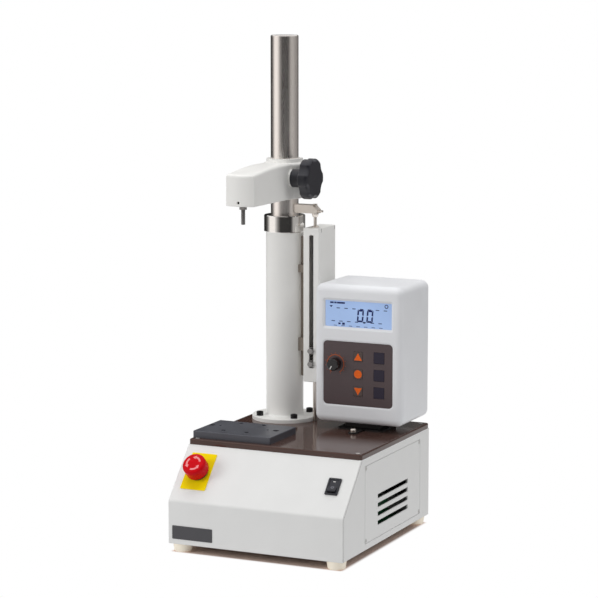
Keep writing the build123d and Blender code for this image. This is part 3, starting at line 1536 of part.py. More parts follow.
# Speed dial with its shaft
dial_base = keypad_recess - keypad_thickness - slide_clearance
with BuildPart() as speed_dial:
    with BuildSketch(ctrl_plane.offset(-dial_base)):
        with Locations((dial_x, dial_z)):
            Circle(dial_radius)
    extrude(amount=dial_height)
    chamfer(speed_dial.faces().sort_by(Axis.Y)[0].edges(), dial_edge)
    with BuildSketch(ctrl_plane.offset(-dial_base)):
        with Locations((dial_x, dial_z)):
            Circle(dial_shaft_radius)
    extrude(amount=-(board_front - dial_base - slide_clearance))
speed_dial.part.label = "speed_dial"
export_step(speed_dial.part, "parts/speed_dial.step")

# Stand between the top plate and the controller
with BuildPart() as controller_stand:
    with BuildSketch(Plane.XY.offset(plate_top)):
        with Locations((ctrl_x, (stand_front + stand_rear) / 2)):
            RectangleRounded(stand_width, stand_rear - stand_front, stand_corner)
        with Locations((ctrl_x, (stand_tongue_front + stand_front + stand_corner) / 2)):
            RectangleRounded(
                stand_tongue_width, stand_front + stand_corner - stand_tongue_front, stand_corner
            )
        with Locations(*stand_screw_spots):
            Circle(screw_radius + screw_clearance, mode=Mode.SUBTRACT)
    extrude(amount=stand_plate)
    with Locations((ctrl_x, (stand_riser_y_min + stand_riser_y_max) / 2, plate_top + stand_plate)):
        Box(
            stand_riser_width,
            stand_riser_y_max - stand_riser_y_min,
            ctrl_bottom - plate_top - stand_plate,
            align=up_min,
        )
controller_stand.part.label = "controller_stand"
export_step(controller_stand.part, "parts/controller_stand.step")

# Dome head screws of the stand
with BuildPart() as stand_screws:
    with Locations(*[(x, y, plate_top + stand_plate) for x, y in stand_screw_spots]):
        Cylinder(dome_radius, dome_height, align=up_min)
    fillet(stand_screws.edges().group_by(Axis.Z)[-1], dome_height / 2)
    with BuildSketch(Plane.XY.offset(plate_top + stand_plate + dome_height)):
        with Locations(*stand_screw_spots):
            RegularPolygon(dome_socket / 2, 6, major_radius=False)
    extrude(amount=-dome_socket_depth, mode=Mode.SUBTRACT)
    with Locations(*[(x, y, plate_top + stand_plate) for x, y in stand_screw_spots]):
        Cylinder(screw_radius, stand_plate + plate_thickness, align=down_max)
stand_screws.part.label = "stand_screws"
export_step(stand_screws.part, "parts/stand_screws.step")
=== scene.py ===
import math
import bmesh
import bpy
from mathutils import Matrix, Vector


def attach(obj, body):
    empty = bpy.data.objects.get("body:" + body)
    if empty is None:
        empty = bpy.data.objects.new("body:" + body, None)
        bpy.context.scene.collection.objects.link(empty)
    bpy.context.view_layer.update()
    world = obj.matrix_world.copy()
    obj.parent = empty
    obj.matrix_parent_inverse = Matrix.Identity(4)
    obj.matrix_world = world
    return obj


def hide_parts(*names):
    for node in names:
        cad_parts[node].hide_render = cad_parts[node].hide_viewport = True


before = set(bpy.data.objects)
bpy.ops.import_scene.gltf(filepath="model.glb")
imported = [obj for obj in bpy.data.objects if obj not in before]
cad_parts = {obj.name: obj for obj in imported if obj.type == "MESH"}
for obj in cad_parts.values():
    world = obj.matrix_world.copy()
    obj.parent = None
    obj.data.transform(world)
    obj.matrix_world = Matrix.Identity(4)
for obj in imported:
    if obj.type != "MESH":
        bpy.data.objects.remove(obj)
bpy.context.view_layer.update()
MM = 0.001

# Places on the machine, in millimetres
TEST = (-74.0, -34.0)
FRONT_Y = -154.0
BEND_Z = 71.5
SLOPE_RUN = 62.0
SLOPE_RISE = 67.5
SLOPE = math.atan2(SLOPE_RISE, SLOPE_RUN)
SHEET = 3.0
PLATE_TOP = 146.5
BASE_HALF = 131.0
BASE_LOW = 11.5
CTRL_X = 62.55
CTRL_Y = 52.0
NOSE_Y = -49.5
NOSE_HOLE_Z = 475.0
ROD = (-25.0, 100.0)
HOUSING_RIGHT = -11.7
HOUSING_TOP = 428.5
STRIKER_LOW = 448.5

# Thickness of printed marks and of the dark lines painted as shade in joints and slots
PRINT = 0.05
SHADE_LINE_THICK = 0.04

# Where the camera stands: degrees round the machine and above it
VIEW_YAW = 24.83
VIEW_PITCH = 8.28


def plane(origin, x_axis, y_axis):
    """Local frame as a matrix in metres: x and y in the surface, z out of it."""
    x_axis = Vector(x_axis).normalized()
    y_axis = Vector(y_axis).normalized()
    z_axis = x_axis.cross(y_axis)
    matrix = Matrix((x_axis, y_axis, z_axis)).transposed().to_4x4()
    matrix.translation = Vector(origin) * MM
    return matrix


front_face = plane((0, FRONT_Y, 0), (1, 0, 0), (0, 0, 1))
slope_face = plane((0, FRONT_Y, BEND_Z), (1, 0, 0), (0, math.cos(SLOPE), math.sin(SLOPE)))
panel_face = plane((CTRL_X, CTRL_Y, PLATE_TOP), (1, 0, 0), (0, 0, 1))


# Materials
def noise_input(tree, scale, detail, stretch):
    """Noise in object space, so that it moves with its piece."""
    nodes, links = tree.nodes, tree.links
    place = nodes.new("ShaderNodeTexCoord")
    mapping = nodes.new("ShaderNodeMapping")
    mapping.inputs["Scale"].default_value = stretch
    noise = nodes.new("ShaderNodeTexNoise")
    noise.inputs["Scale"].default_value = scale
    noise.inputs["Detail"].default_value = detail
    links.new(place.outputs["Object"], mapping.inputs["Vector"])
    links.new(mapping.outputs["Vector"], noise.inputs["Vector"])
    return noise


def linear(value):
    """Light level of a screen value from 0 to 255."""
    value = value / 255.0
    return value / 12.92 if value <= 0.04045 else ((value + 0.055) / 1.055) ** 2.4


RELIEF_DEPTH = 0.0002


def surface(name, colour, roughness, vary=0.04, scale=35.0, rough_vary=0.06, bump=0.04, bump_scale=900.0,
            stretch=(1, 1, 1), metallic=0.0, specular=0.5, edge=0.0, emission=0.0):
    """Principled material with uneven colour, uneven gloss and a fine relief.

    The colour is given as 0 to 255. An edge softens the look of sharp corners by that radius, in metres.
    """
    material = bpy.data.materials.new(name)
    material.use_nodes = True
    tree = material.node_tree
    nodes, links = tree.nodes, tree.links
    shader = nodes["Principled BSDF"]
    base = [linear(c) for c in colour]
    cloud = noise_input(tree, scale, 4.0, stretch)
    ramp = nodes.new("ShaderNodeValToRGB")
    ramp.color_ramp.elements[0].position = 0.3
    ramp.color_ramp.elements[1].position = 0.7
    ramp.color_ramp.elements[0].color = [min(1.0, c * (1 - vary)) for c in base] + [1]
    ramp.color_ramp.elements[1].color = [min(1.0, c * (1 + vary)) for c in base] + [1]
    links.new(cloud.outputs["Fac"], ramp.inputs["Fac"])
    links.new(ramp.outputs["Color"], shader.inputs["Base Color"])
    gloss = nodes.new("ShaderNodeMapRange")
    gloss.inputs["From Min"].default_value = 0.25
    gloss.inputs["From Max"].default_value = 0.75
    gloss.inputs["To Min"].default_value = max(0.02, roughness - rough_vary)
    gloss.inputs["To Max"].default_value = min(1.0, roughness + rough_vary)
    links.new(cloud.outputs["Fac"], gloss.inputs["Value"])
    links.new(gloss.outputs["Result"], shader.inputs["Roughness"])
    grain = noise_input(tree, bump_scale, 2.0, stretch)
    relief = nodes.new("ShaderNodeBump")
    relief.inputs["Strength"].default_value = bump
    relief.inputs["Distance"].default_value = RELIEF_DEPTH
    links.new(grain.outputs["Fac"], relief.inputs["Height"])
    if edge:
        soft = nodes.new("ShaderNodeBevel")
        soft.samples = 4
        soft.inputs["Radius"].default_value = edge
        links.new(soft.outputs["Normal"], relief.inputs["Normal"])
    links.new(relief.outputs["Normal"], shader.inputs["Normal"])
    shader.inputs["Metallic"].default_value = metallic
    shader.inputs["Specular IOR Level"].default_value = specular
    if emission:
        links.new(ramp.outputs["Color"], shader.inputs["Emission Color"])
        shader.inputs["Emission Strength"].default_value = emission
    return material


finish = {
    "casing_paint": surface("casing paint", (232, 232, 231), 0.42, 0.015, 25.0, bump=0.10, bump_scale=1600.0,
                            edge=0.0011),
    "tray_zinc": surface("zinc plated steel", (150, 150, 146), 0.38, 0.12, 60.0, metallic=0.9),
    "brown_plate": surface("brown plate", (78, 57, 51), 0.12, 0.08, 30.0, 0.03, bump=0.02, specular=0.3,
                           edge=0.0008),
    "table_grey": surface("slate grey table", (74, 75, 82), 0.38, 0.06, 40.0, bump=0.06, bump_scale=1400.0,
                          edge=0.0005),
    # The ivory rubber feet glow faintly through their emission: painted light that brightens them where they
    # sit in shade.
    "ivory_rubber": surface("ivory rubber with painted glow", (240, 231, 214), 0.6, 0.04, 80.0, bump=0.08, emission=0.12),
    "white_paint": surface("white paint", (242, 241, 238), 0.36, 0.012, 25.0, bump=0.06, bump_scale=1500.0,
                           specular=0.2, edge=0.0007),
    "steel_column": surface("ground steel", (242, 236, 232), 0.28, 0.03, 14.0, 0.02, bump=0.0015,
                            bump_scale=60.0, stretch=(26, 26, 1), metallic=1.0),
    "collar_chrome": surface("chrome", (240, 238, 236), 0.09, 0.02, 30.0, 0.02, bump=0.02, bump_scale=80.0,
                             stretch=(1, 1, 14), metallic=1.0),
    "nickel": surface("nickel", (234, 226, 218), 0.34, 0.05, 50.0, 0.06, metallic=1.0),
    "black_oxide": surface("black oxide", (34, 33, 34), 0.36, 0.15, 60.0, metallic=0.5),
    "bronze": surface("bronze", (150, 112, 66), 0.35, 0.08, 50.0, metallic=1.0),
    "alloy": surface("alloy", (170, 171, 174), 0.35, 0.06, 50.0, metallic=1.0),
    "motor_black": surface("motor black", (30, 30, 32), 0.5, 0.10, 60.0, bump=0.1),
    "belt_rubber": surface("belt rubber", (26, 26, 26), 0.75, 0.12, 120.0, bump=0.15),
    "board_green": surface("board green", (28, 84, 52), 0.4, 0.12, 120.0),
    "black_plastic": surface("black plastic", (36, 36, 43), 0.38, 0.10, 70.0, 0.06, bump=0.05, edge=0.0005),
    "stand_black": surface("black stand", (30, 27, 27), 0.45, 0.10, 60.0, bump=0.06),
    "estop_red": surface("red cap", (206, 8, 22), 0.26, 0.06, 60.0, 0.04, bump=0.02, specular=0.10),
    "stem_white": surface("white stem", (220, 218, 212), 0.4, 0.03, 80.0),
    "legend_yellow": surface("yellow legend", (250, 222, 6), 0.45, 0.03, 60.0, bump=0.03, specular=0.1),
    "controller_white": surface("controller shell", (237, 238, 241), 0.38, 0.012, 30.0, bump=0.05,
                                bump_scale=2200.0, specular=0.2),
    "display_blue": surface("display glass", (162, 188, 230), 0.16, 0.04, 22.0, 0.03, bump=0.01,
                            specular=0.25, emission=0.24),
    "keypad_brown": surface("keypad film", (80, 66, 68), 0.42, 0.06, 50.0, bump=0.05, bump_scale=2600.0),
    "arrow_key": surface("arrow key film", (78, 64, 60), 0.40, 0.05, 70.0, bump=0.05, bump_scale=2600.0),
    "function_key": surface("square key film", (44, 38, 54), 0.42, 0.06, 70.0, bump=0.05, bump_scale=2600.0,
                            specular=0.3),
}
ink = {
    "digit": surface("display digits", (30, 36, 96), 0.5, 0.06, 90.0, specular=0.2),
    "orange": surface("orange print", (240, 106, 34), 0.5, 0.05, 90.0, specular=0.2),
    "rust": surface("dull orange print", (176, 88, 52), 0.5, 0.06, 90.0, specular=0.2),
    # Dark colour laid into joints and slots for the shade that falls in them: painted shade.
    "seam": surface("painted gap shade", (92, 88, 84), 0.7, 0.08, 120.0, specular=0.1),
    "screw": surface("painted screw head", (206, 205, 202), 0.4, 0.05, 90.0),
    # The brackets are coloured darker for the shade they sit in beside the tube: painted shade.
    "bracket": surface("bracket darkened as painted shade", (138, 128, 118), 0.5, 0.06, 60.0, bump=0.06),
    # Darker steel for the threaded stud, its nut and the stops: partly their own duller finish, and partly
    # painted shade for the arm's shadow over the nut.
    "dull": surface("darker steel partly painted shade", (146, 144, 143), 0.34, 0.08, 60.0, 0.06, metallic=1.0),
    "dial": surface("dial black", (24, 20, 22), 0.28, 0.12, 70.0, 0.05, bump=0.04, edge=0.0005),
    "pale": surface("pale print", (226, 224, 220), 0.5, 0.04, 90.0),
    "arrows": surface("pale red print", (240, 150, 152), 0.5, 0.05, 90.0, specular=0.2),
    "grey": surface("grey print", (128, 128, 136), 0.5, 0.05, 90.0),
    "plate": surface("charcoal plate", (66, 65, 69), 0.36, 0.06, 50.0, bump=0.05),
}

# Nodes whose look differs from the rest of their slot; the brackets and the stud's nut are darker partly as
# painted shade
special = {"cover_screws": ink["screw"], "limit_brackets": ink["bracket"], "upper_stop": ink["dull"],
           "lower_stop": ink["dull"], "stud_nut": ink["dull"], "speed_dial": ink["dial"]}
for node_name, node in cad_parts.items():
    for held in node.material_slots:
        key = held.material.name.split(".")[0] if held.material else ""
        if key in finish:
            held.material = special.get(node_name, finish[key])


# Mesh helpers
def finish_piece(name, mesh, material, body, smooth=False):
    """Piece of the scene from a mesh under construction, riding on a body of the frame."""
    built = bpy.data.meshes.new(name)
    mesh.to_mesh(built)
    mesh.free()
    built.materials.append(material)
    for face in built.polygons:
        face.use_smooth = smooth
    piece = bpy.data.objects.new(name, built)
    bpy.context.scene.collection.objects.link(piece)
    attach(piece, body)
    return piece


def prisms(name, outlines, where, base, height, material, body, edge=0.0):
    """Raised shapes on a surface: closed outlines in millimetres, extruded out of the plane."""
    mesh = bmesh.new()
    rims = []
    for outline in outlines:
        lower = [mesh.verts.new(where @ Vector((x * MM, y * MM, base * MM))) for x, y in outline]
        upper = [mesh.verts.new(where @ Vector((x * MM, y * MM, (base + height) * MM)))
                 for x, y in outline]
        mesh.faces.new(list(reversed(lower)))
        top = mesh.faces.new(upper)
        for i in range(len(outline)):
            j = (i + 1) % len(outline)
            mesh.faces.new((lower[i], lower[j], upper[j], upper[i]))
        rims += list(top.edges)
    bmesh.ops.recalc_face_normals(mesh, faces=mesh.faces)
    if edge:
        bmesh.ops.bevel(mesh, geom=rims, offset=edge * MM, segments=2, affect="EDGES", profile=0.5)
    return finish_piece(name, mesh, material, body)


def lathe(name, profile, where, material, body, steps=40, smooth=False, ring_shaped=False):
    """Turned piece: profile points are radius and height along the plane's normal, in millimetres.

    A ring shaped piece has a closed profile, others are closed with flat ends.
    """
    mesh = bmesh.new()
    rings = []
    for radius, height in profile:
        ring = []
        for i in range(steps):
            angle = 2 * math.pi * i / steps
            point = Vector((radius * math.cos(angle) * MM, radius * math.sin(angle) * MM, height * MM))
            ring.append(mesh.verts.new(where @ point))
        rings.append(ring)
    if ring_shaped:
        rings.append(rings[0])
    for a, b in zip(rings, rings[1:]):
        for i in range(steps):
            j = (i + 1) % steps
            mesh.faces.new((a[i], a[j], b[j], b[i]))
    if not ring_shaped:
        mesh.faces.new(list(reversed(rings[0])))
        mesh.faces.new(rings[-1])
    bmesh.ops.recalc_face_normals(mesh, faces=mesh.faces)
    return finish_piece(name, mesh, material, body, smooth)


def rounded(width, height, radius, centre, steps=5):
    """Outline of a rectangle with round corners."""
    points = []
    for cx, cy, start in ((1, 1, 0), (-1, 1, 90), (-1, -1, 180), (1, -1, 270)):
        for i in range(steps + 1):
            angle = math.radians(start + 90 * i / steps)
            points.append((centre[0] + cx * (width / 2 - radius) + radius * math.cos(angle),
                           centre[1] + cy * (height / 2 - radius) + radius * math.sin(angle)))
    return points


def bar(x0, y0, x1, y1):
    return [(x0, y0), (x1, y0), (x1, y1), (x0, y1)]


def polar(centre, radius, angle):
    return centre[0] + radius * math.cos(angle), centre[1] + radius * math.sin(angle)


def disc(centre, radius, count=40):
    return [polar(centre, radius, 2 * math.pi * i / count) for i in range(count)]


ARROW_SPREAD = 0.62


def arc_band(centre, radius, width, start, end, steps=24, arrow=0.0):
    """Part of a ring, with an arrow head at its end when one is asked for. Angles in degrees."""
    angles = [math.radians(start + (end - start) * i / steps) for i in range(steps + 1)]
    outer = [polar(centre, radius + width / 2, a) for a in angles]
    inner = [polar(centre, radius - width / 2, a) for a in reversed(angles)]
    if not arrow:
        return outer + inner
    last = angles[-1]
    tip = last + math.copysign(arrow / radius, end - start)
    head = [polar(centre, radius + arrow * ARROW_SPREAD, last), polar(centre, radius, tip),
            polar(centre, radius - arrow * ARROW_SPREAD, last)]
    return outer + head + inner


# Threaded stud under the arm
def threaded_stud():
    core, crest, pitch = 2.5, 3.0, 1.0
    low, thread_end, top = 443.5, 464.4, 486.5
    lead_start, lead_length = 0.25, 0.8
    flank, crown = 2.4, 1.2
    steps, rows_per_pitch = 40, 8
    rows = int((thread_end - low) / pitch * rows_per_pitch)
    mesh = bmesh.new()

    def vertex(radius, step, z):
        x, y = polar(TEST, radius, 2 * math.pi * step / steps)
        return mesh.verts.new((x * MM, y * MM, z * MM))

    rings = []
    for row in range(rows + 1):
        z = low + (thread_end - low) * row / rows
        lead_in = min(1.0, (z - low + lead_start) / lead_length)
        ring = []
        for i in range(steps):
            phase = ((z - low) / pitch - i / steps) % 1.0
            tooth = max(0.0, 1 - abs(phase - 0.5) * flank)
            ring.append(vertex(core + (crest - core) * min(1.0, tooth * crown) * lead_in, i, z))
        rings.append(ring)
    rings.append([vertex(core, i, top) for i in range(steps)])
    for a, b in zip(rings, rings[1:]):
        for i in range(steps):
            j = (i + 1) % steps
            mesh.faces.new((a[i], a[j], b[j], b[i]))
    mesh.faces.new(list(reversed(rings[0])))
    mesh.faces.new(rings[-1])
    piece = finish_piece("threaded_stud", mesh, ink["dull"], "arm", True)
    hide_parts("test_stud")


threaded_stud()

# Set screw sunk in the nose of the arm
nose_hole = plane((TEST[0], NOSE_Y, NOSE_HOLE_Z), (1, 0, 0), (0, 0, 1))
set_screw = [(0.9, -4.6), (0.9, -2.9), (1.6, -2.5), (1.95, -2.9), (1.95, -5.6)]
lathe("nose_set_screw", set_screw, nose_hole, finish["black_oxide"], "arm", 24, True)

# Bare name plate on the front
name_plate = rounded(61.4, 18.8, 1.0, (-94.6, 27.9))
prisms("name_plate", [name_plate], front_face, 0.0, 0.6, ink["plate"], "frame", 0.2)

# Display content, from the middle of the glass
LCD_Z = 166.8
GLASS = -2.6
DIGIT_PRINT = 0.06
DIGIT_LEFTS = (-2.6, 11.8)
DIGIT_LOW = -10.3
DIGIT_WIDTH = 9.8
DIGIT_HEIGHT = 17.6
DIGIT_STROKE = 2.4
DIGIT_LEAN = 0.08
DIGIT_GAP = 0.18


def digit_zero(left, low, width, height, thick):
    """Strokes of a leaning zero made of six segments."""
    right, high, mid = left + width, low + height, low + height / 2
    gap = thick * DIGIT_GAP
    strokes = [
        [(left + gap, high), (right - gap, high),
         (right - thick, high - thick), (left + thick, high - thick)],
        [(left + gap, low), (left + thick, low + thick),
         (right - thick, low + thick), (right - gap, low)],
    ]
    for y0, y1, inner0, inner1 in ((low + gap, mid - gap, low + thick + gap, mid - thick / 2),
                                   (mid + gap, high - gap, mid + thick / 2, high - thick - gap)):
        strokes.append([(left, y0), (left, y1), (left + thick, inner1), (left + thick, inner0)])
        strokes.append([(right, y0), (right - thick, inner0), (right - thick, inner1), (right, y1)])
    return [[(x + DIGIT_LEAN * (y - low), y) for x, y in stroke] for stroke in strokes]


def dashes(first_x, pitch, length, low, thick, count=7):
    return [bar(first_x + pitch * i, low, first_x + pitch * i + length, low + thick) for i in range(count)]


def display_marks():
    marks = []
    for left in DIGIT_LEFTS:
        marks += digit_zero(left, DIGIT_LOW, DIGIT_WIDTH, DIGIT_HEIGHT, DIGIT_STROKE)
    decimal_point = bar(7.6, DIGIT_LOW - 1.6, 10.0, DIGIT_LOW + 0.7)
    marks.append(decimal_point)
    marks += dashes(-33.6, 12.0, 5.2, 7.4, 1.1)
    marks += dashes(-41.4, 12.0, 5.2, -11.2, 1.1)
    marks += dashes(-38.0, 11.6, 5.4, -17.3, 0.7)
    status_blocks = ((-43.6, 5.4), (-37.2, 3.4), (-33.0, 12.0))
    marks += [bar(x, 14.2, x + wide, 16.6) for x, wide in status_blocks]
    small_triangle = [(-44.6, 11.2), (-42.0, 8.4), (-39.4, 11.2)]
    marks.append(small_triangle)
    unit_blocks = [bar(-31.0, -15.2, -27.4, -12.9), bar(-25.0, -15.6, -21.0, -12.6)]
    marks += unit_blocks
    corner_ring = [arc_band((42.6, 14.0), 2.3, 1.1, turn, turn + 180, 12) for turn in (0, 180)]
    return marks + corner_ring


lcd_face = panel_face @ Matrix.Translation(Vector((0, LCD_Z * MM, 0)))
prisms("display_digits", display_marks(), lcd_face, GLASS, DIGIT_PRINT, ink["digit"], "frame")

# Key symbols
KEY_FACE = -0.4
KEY_ROWS = (107.1, 82.2, 57.3)
ARROW_X = 0.4
SYMBOL_HALF = 6.0
SYMBOL_HEIGHT = 10.4
STOP_RADIUS = 5.9


def triangle(centre_y, way):
    low, high = centre_y - way * SYMBOL_HEIGHT / 2, centre_y + way * SYMBOL_HEIGHT / 2
    points = [(ARROW_X - SYMBOL_HALF, low), (ARROW_X + SYMBOL_HALF, low), (ARROW_X, high)]
    return points if way > 0 else list(reversed(points))


for symbol, outline, body in (("up_symbol", triangle(KEY_ROWS[0], 1), "key_up"),
                              ("down_symbol", triangle(KEY_ROWS[2], -1), "key_down"),
                              ("stop_symbol", disc((ARROW_X, KEY_ROWS[1]), STOP_RADIUS), "key_stop")):
    prisms(symbol, [outline], panel_face, KEY_FACE, PRINT, ink["orange"], body)

# Speed dial: pointer on its face, printed arc and ticks round it
DIAL = (-34.5, 94.8)
DIAL_FACE = 10.8
KEYPAD_FACE = -1.0
POINTER_TURN = math.radians(240)
POINTER_NEAR = 2.0
POINTER_FAR = 7.4
POINTER_HALF = 0.7
POINTER_PRINT = 0.08
ARC_RADIUS = 13.0
ARC_WIDTH = 1.3
TICK_RADIUS = 15.6
TICK_WIDTH = 1.6
TICK_HALF = 1.2


def pointer_outline():
    x, y = math.cos(POINTER_TURN), math.sin(POINTER_TURN)
    half = POINTER_HALF
    corners = ((POINTER_NEAR, half), (POINTER_NEAR, -half), (POINTER_FAR, -half), (POINTER_FAR, half))
    return [(x * reach - y * side, y * reach + x * side) for reach, side in corners]


dial_face = panel_face @ Matrix.Translation(Vector((DIAL[0] * MM, DIAL[1] * MM, 0)))
prisms("dial_pointer", [pointer_outline()], dial_face, DIAL_FACE, POINTER_PRINT, ink["pale"], "dial")
dial_scale = [arc_band((0, 0), ARC_RADIUS, ARC_WIDTH, -62, 242, 60)]
dial_scale += [arc_band((0, 0), TICK_RADIUS, TICK_WIDTH, turn - TICK_HALF, turn + TICK_HALF, 2)
               for turn in range(-60, 241, 25)]
prisms("dial_arc", dial_scale, dial_face, KEYPAD_FACE, PRINT, ink["rust"], "frame")

# Emergency stop arrows
ESTOP = (-101.0, 49.5)
HEAD_FACE = 22.8
HEAD_ARROW = {"radius": 9.6, "width": 2.6, "arrow": 4.6, "steps": 16}
HEAD_ARROW_TURN = 62
estop_face = slope_face @ Matrix.Translation(Vector((ESTOP[0] * MM, ESTOP[1] * MM, 0)))
head_arrows = [arc_band((0, 0), start=start, end=start + HEAD_ARROW_TURN, **HEAD_ARROW)
               for start in (20, 140, 260)]
prisms("estop_arrows", head_arrows, estop_face, HEAD_FACE, PRINT, ink["arrows"], "estop_button")

# Rocker marks on the two halves of the paddle
ROCKER = (103.0, 47.3)
PADDLE = SLOPE - math.radians(12.0)
PADDLE_FOLD = math.atan2(2.0, 9.6)
PADDLE_RISE = 1.4
paddle_origin = slope_face @ Vector((ROCKER[0] * MM, ROCKER[1] * MM, 0))


def paddle_half(sign):
    """Face of the paddle's upper (1) or lower (-1) half, from the fold between them."""
    angle = PADDLE + sign * PADDLE_FOLD
    origin = paddle_origin + Vector((0, -math.sin(PADDLE), math.cos(PADDLE))) * PADDLE_RISE * MM
    return plane(origin / MM, (1, 0, 0), (0, math.cos(angle), math.sin(angle)))


on_mark = bar(-1.7, 6.4, 1.7, 7.5)
off_mark = [arc_band((0, -2.9), 1.9, 0.8, turn, turn + 180) for turn in (0, 180)]
prisms("rocker_on_mark", [on_mark], paddle_half(1), 0.0, PRINT, ink["pale"], "rocker")
prisms("rocker_off_mark", off_mark, paddle_half(-1), 0.0, PRINT, ink["grey"], "rocker")

# Painted shade lines in the gaps where the front panel meets the side walls
CORNER_SHADE_HALF = 0.25


def corner_gap_shade(name, side):
    """Painted shade line in the gap up the panel's upright edge and along its slope, on the right (1) or
    left (-1) wall.
    """
    wall = plane((side * BASE_HALF, 0, 0), (0, side, 0), (0, 0, 1))
    bend = (FRONT_Y + SHEET, BEND_Z - SHEET * math.tan(SLOPE / 2))
    foot = (bend[0], BASE_LOW)
    top = (FRONT_Y + SLOPE_RUN + SHEET * math.sin(SLOPE), BEND_Z + SLOPE_RISE - SHEET * math.cos(SLOPE))
    half = CORNER_SHADE_HALF
    lines = [[(y0 - half, z0), (y0 + half, z0), (y1 + half, z1), (y1 - half, z1)]
             for (y0, z0), (y1, z1) in ((foot, bend), (bend, top))]
    prisms(name, [[(side * y, z) for y, z in line] for line in lines], wall, 0.0, SHADE_LINE_THICK, ink["seam"], "frame")


corner_gap_shade("corner_gap_shade_right", 1)
corner_gap_shade("corner_gap_shade_left", -1)

# Painted shade in the two joint slots of the limit housing's end cap, on its right face
CAP_SHADE_HALF = 0.45
CAP_SHADE_ENDS = (HOUSING_TOP - 6.4, HOUSING_TOP - 0.8)
housing_side = plane((HOUSING_RIGHT, 0, 0), (0, 1, 0), (0, 0, 1))
cap_slot_shades = [bar(y - CAP_SHADE_HALF, CAP_SHADE_ENDS[0], y + CAP_SHADE_HALF, CAP_SHADE_ENDS[1])
             for y in (92.0, 138.4)]
prisms("housing_slot_shades", cap_slot_shades, housing_side, 0.0, SHADE_LINE_THICK, ink["seam"], "frame")

# Cone nut under the striker and guide ring on the housing, round the limit rod
rod_nut = plane((ROD[0], ROD[1], STRIKER_LOW), (1, 0, 0), (0, 1, 0))
cone_nut = [(3.05, -0.05), (4.7, -0.05), (4.7, -1.4), (3.5, -5.2), (3.05, -5.2)]
lathe("rod_cone_nut", cone_nut, rod_nut, finish["nickel"], "column", ring_shaped=True)
guide = plane((ROD[0], ROD[1], HOUSING_TOP), (1, 0, 0), (0, 1, 0))
guide_ring = [(3.2, 0.0), (5.2, 0.0), (5.2, 0.9), (4.7, 1.4), (3.2, 1.4)]
lathe("rod_guide_ring", guide_ring, guide, finish["nickel"], "frame", ring_shaped=True)


# Floor, surround, lights and camera
WHITE = (1, 1, 1, 1)
SEEN_RAYS = ("Is Camera Ray", "Is Glossy Ray", "Is Transmission Ray")
AMBIENT = 0.32
FLOOR_RADIUS = 1.6
FLOOR_DROP = 0.0004
FLOOR_GLOW = 0.72
# Brown of the paper under the machine, which tints the real shadow there: painted shade colour.
SHADE_PAPER = (0.88, 0.68, 0.59, 1)
SHADE_PAPER_HALF = (0.124, 0.147, 0.0)
SHADE_PAPER_FADE = 0.009


def stage_object(name, mesh):
    """Object of the set from a mesh under construction, with an empty node material."""
    built = bpy.data.meshes.new(name)
    mesh.to_mesh(built)
    mesh.free()
    material = bpy.data.materials.new(name)
    material.use_nodes = True
    material.node_tree.nodes.remove(material.node_tree.nodes["Principled BSDF"])
    built.materials.append(material)
    piece = bpy.data.objects.new(name, built)
    bpy.context.scene.collection.objects.link(piece)
    return piece, material.node_tree


def any_ray(tree, kinds):
    """One when the ray is of any of the kinds named."""
    rays = tree.nodes.new("ShaderNodeLightPath")
    result = rays.outputs[kinds[0]]
    for kind in kinds[1:]:
        either = tree.nodes.new("ShaderNodeMath")
        either.operation = "MAXIMUM"
        tree.links.new(result, either.inputs[0])
        tree.links.new(rays.outputs[kind], either.inputs[1])
        result = either.outputs[0]
    return result


def white_for_seen(tree, kind, unseen_strength):
    """White at strength one for rays that show the background, and weaker as a source of light."""
    mix = tree.nodes.new("ShaderNodeMixShader")
    tree.links.new(any_ray(tree, SEEN_RAYS), mix.inputs[0])
    for socket, strength in ((1, unseen_strength), (2, 1.0)):
        shader = tree.nodes.new(kind)
        shader.inputs["Color"].default_value = WHITE
        shader.inputs["Strength"].default_value = strength
        tree.links.new(shader.outputs[0], mix.inputs[socket])
    return mix


def build_floor():
    """Brown paper that takes the shadow under the machine, its brown a painted shade colour, and fades to
    white round it.
    """
    mesh = bmesh.new()
    bmesh.ops.create_circle(mesh, cap_ends=True, segments=96, radius=FLOOR_RADIUS)
    floor, tree = stage_object("floor", mesh)
    floor.location.z = -FLOOR_DROP
    nodes, links = tree.nodes, tree.links
    # Brown paper only under the footprint: painted shade colour over the real shadow.
    shade_paper = nodes.new("ShaderNodeBsdfDiffuse")
    shade_paper.inputs["Color"].default_value = SHADE_PAPER
    glow = white_for_seen(tree, "ShaderNodeEmission", FLOOR_GLOW)
    place = nodes.new("ShaderNodeTexCoord")
    point = place.outputs["Object"]
    for operation in ("ABSOLUTE", "SUBTRACT", "MAXIMUM", "LENGTH"):
        step = nodes.new("ShaderNodeVectorMath")
        step.operation = operation
        if operation == "SUBTRACT":
            step.inputs[1].default_value = SHADE_PAPER_HALF
        links.new(point, step.inputs[0])
        point = step.outputs["Value" if operation == "LENGTH" else "Vector"]
    fade = nodes.new("ShaderNodeMapRange")
    fade.interpolation_type = "SMOOTHERSTEP"
    fade.inputs["From Max"].default_value = SHADE_PAPER_FADE
    links.new(point, fade.inputs["Value"])
    mix = nodes.new("ShaderNodeMixShader")
    links.new(fade.outputs["Result"], mix.inputs[0])
    links.new(shade_paper.outputs[0], mix.inputs[1])
    links.new(glow.outputs[0], mix.inputs[2])
    links.new(mix.outputs[0], nodes["Material Output"].inputs["Surface"])


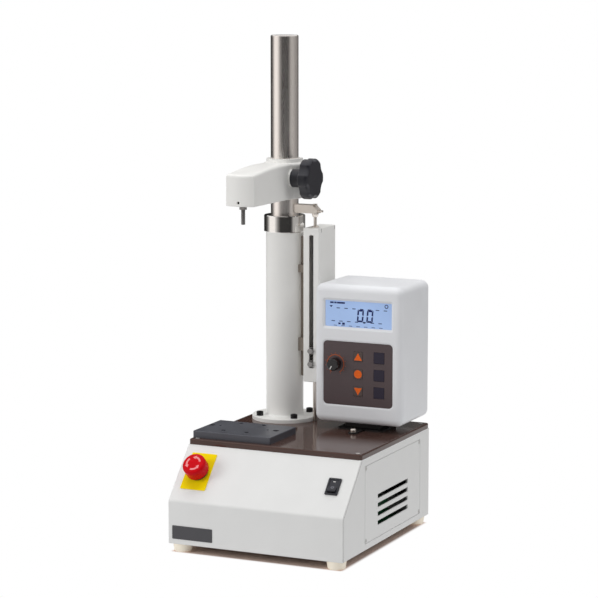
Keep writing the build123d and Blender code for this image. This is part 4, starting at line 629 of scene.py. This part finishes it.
def build_surround():
    """Cards that only show in polished surfaces: bright to the left, dark in front, grey to the right."""
    shades = ((-180, 0.10), (-130, 0.20), (-112, 0.45), (-92, 1.0), (-60, 1.0), (-38, 0.5), (-24, 0.22),
              (36, 0.20), (50, 0.68), (84, 0.68), (94, 0.58), (120, 0.56), (135, 0.40), (180, 0.45))
    warmth = (1.0, 0.985, 0.97)
    radius, low, high = 5.0, -2.0, 3.2
    steps = 180
    mesh = bmesh.new()
    lower, upper = [], []
    for i in range(steps):
        angle = math.radians(-180 + 360 * i / steps) + math.radians(VIEW_YAW)
        x, y = radius * math.sin(angle), -radius * math.cos(angle)
        lower.append(mesh.verts.new((x, y, low)))
        upper.append(mesh.verts.new((x, y, high)))
    layer = mesh.loops.layers.color.new("shade")
    for i in range(steps):
        j = (i + 1) % steps
        face = mesh.faces.new((lower[i], upper[i], upper[j], lower[j]))
        turn = -180 + 360 * (i + 0.5) / steps
        for (a, low_shade), (b, high_shade) in zip(shades, shades[1:]):
            if a <= turn <= b:
                level = low_shade + (high_shade - low_shade) * (turn - a) / (b - a)
        for corner in face.loops:
            corner[layer] = [level * tint for tint in warmth] + [1]
    card, tree = stage_object("surround", mesh)
    shade = tree.nodes.new("ShaderNodeVertexColor")
    shade.layer_name = "shade"
    glow = tree.nodes.new("ShaderNodeEmission")
    tree.links.new(shade.outputs["Color"], glow.inputs["Color"])
    tree.links.new(glow.outputs[0], tree.nodes["Material Output"].inputs["Surface"])
    card.visible_camera = False
    card.visible_diffuse = False
    card.visible_shadow = False


def softbox(name, location, target, size, power):
    light = bpy.data.lights.new(name, "AREA")
    light.shape = "SQUARE"
    light.size = size
    light.energy = power
    lamp = bpy.data.objects.new(name, light)
    bpy.context.scene.collection.objects.link(lamp)
    lamp.location = location
    lamp.rotation_euler = (Vector(target) - Vector(location)).to_track_quat("-Z", "Y").to_euler()
    lamp.visible_glossy = False


def build_world():
    world = bpy.data.worlds.new("studio")
    bpy.context.scene.world = world
    world.use_nodes = True
    tree = world.node_tree
    tree.nodes.remove(tree.nodes["Background"])
    glow = white_for_seen(tree, "ShaderNodeBackground", AMBIENT)
    tree.links.new(glow.outputs[0], tree.nodes["World Output"].inputs["Surface"])


def build_camera():
    data = bpy.data.cameras.new("camera")
    data.sensor_width = 36.0
    data.lens = 140.0
    data.clip_end = 50.0
    camera = bpy.data.objects.new("camera", data)
    bpy.context.scene.collection.objects.link(camera)
    yaw, pitch = math.radians(VIEW_YAW), math.radians(VIEW_PITCH)
    back = Vector((math.sin(yaw) * math.cos(pitch), -math.cos(yaw) * math.cos(pitch), math.sin(pitch)))
    camera.location = (1.3446, -2.9154, 0.8064)
    camera.rotation_euler = (-back).to_track_quat("-Z", "Y").to_euler()
    bpy.context.scene.camera = camera


build_floor()
build_surround()
softbox("overhead", (-0.2, 0.1, 2.6), (0, 0, 0.2), 2.2, 41.0)
softbox("key_left", (-1.7, -1.5, 0.8), (0, 0, 0.3), 1.1, 18.0)
softbox("fill_right", (2.3, -0.6, 1.7), (0, 0, 0.4), 1.4, 10.0)
build_world()
build_camera()
bpy.context.scene.view_settings.view_transform = "Standard"
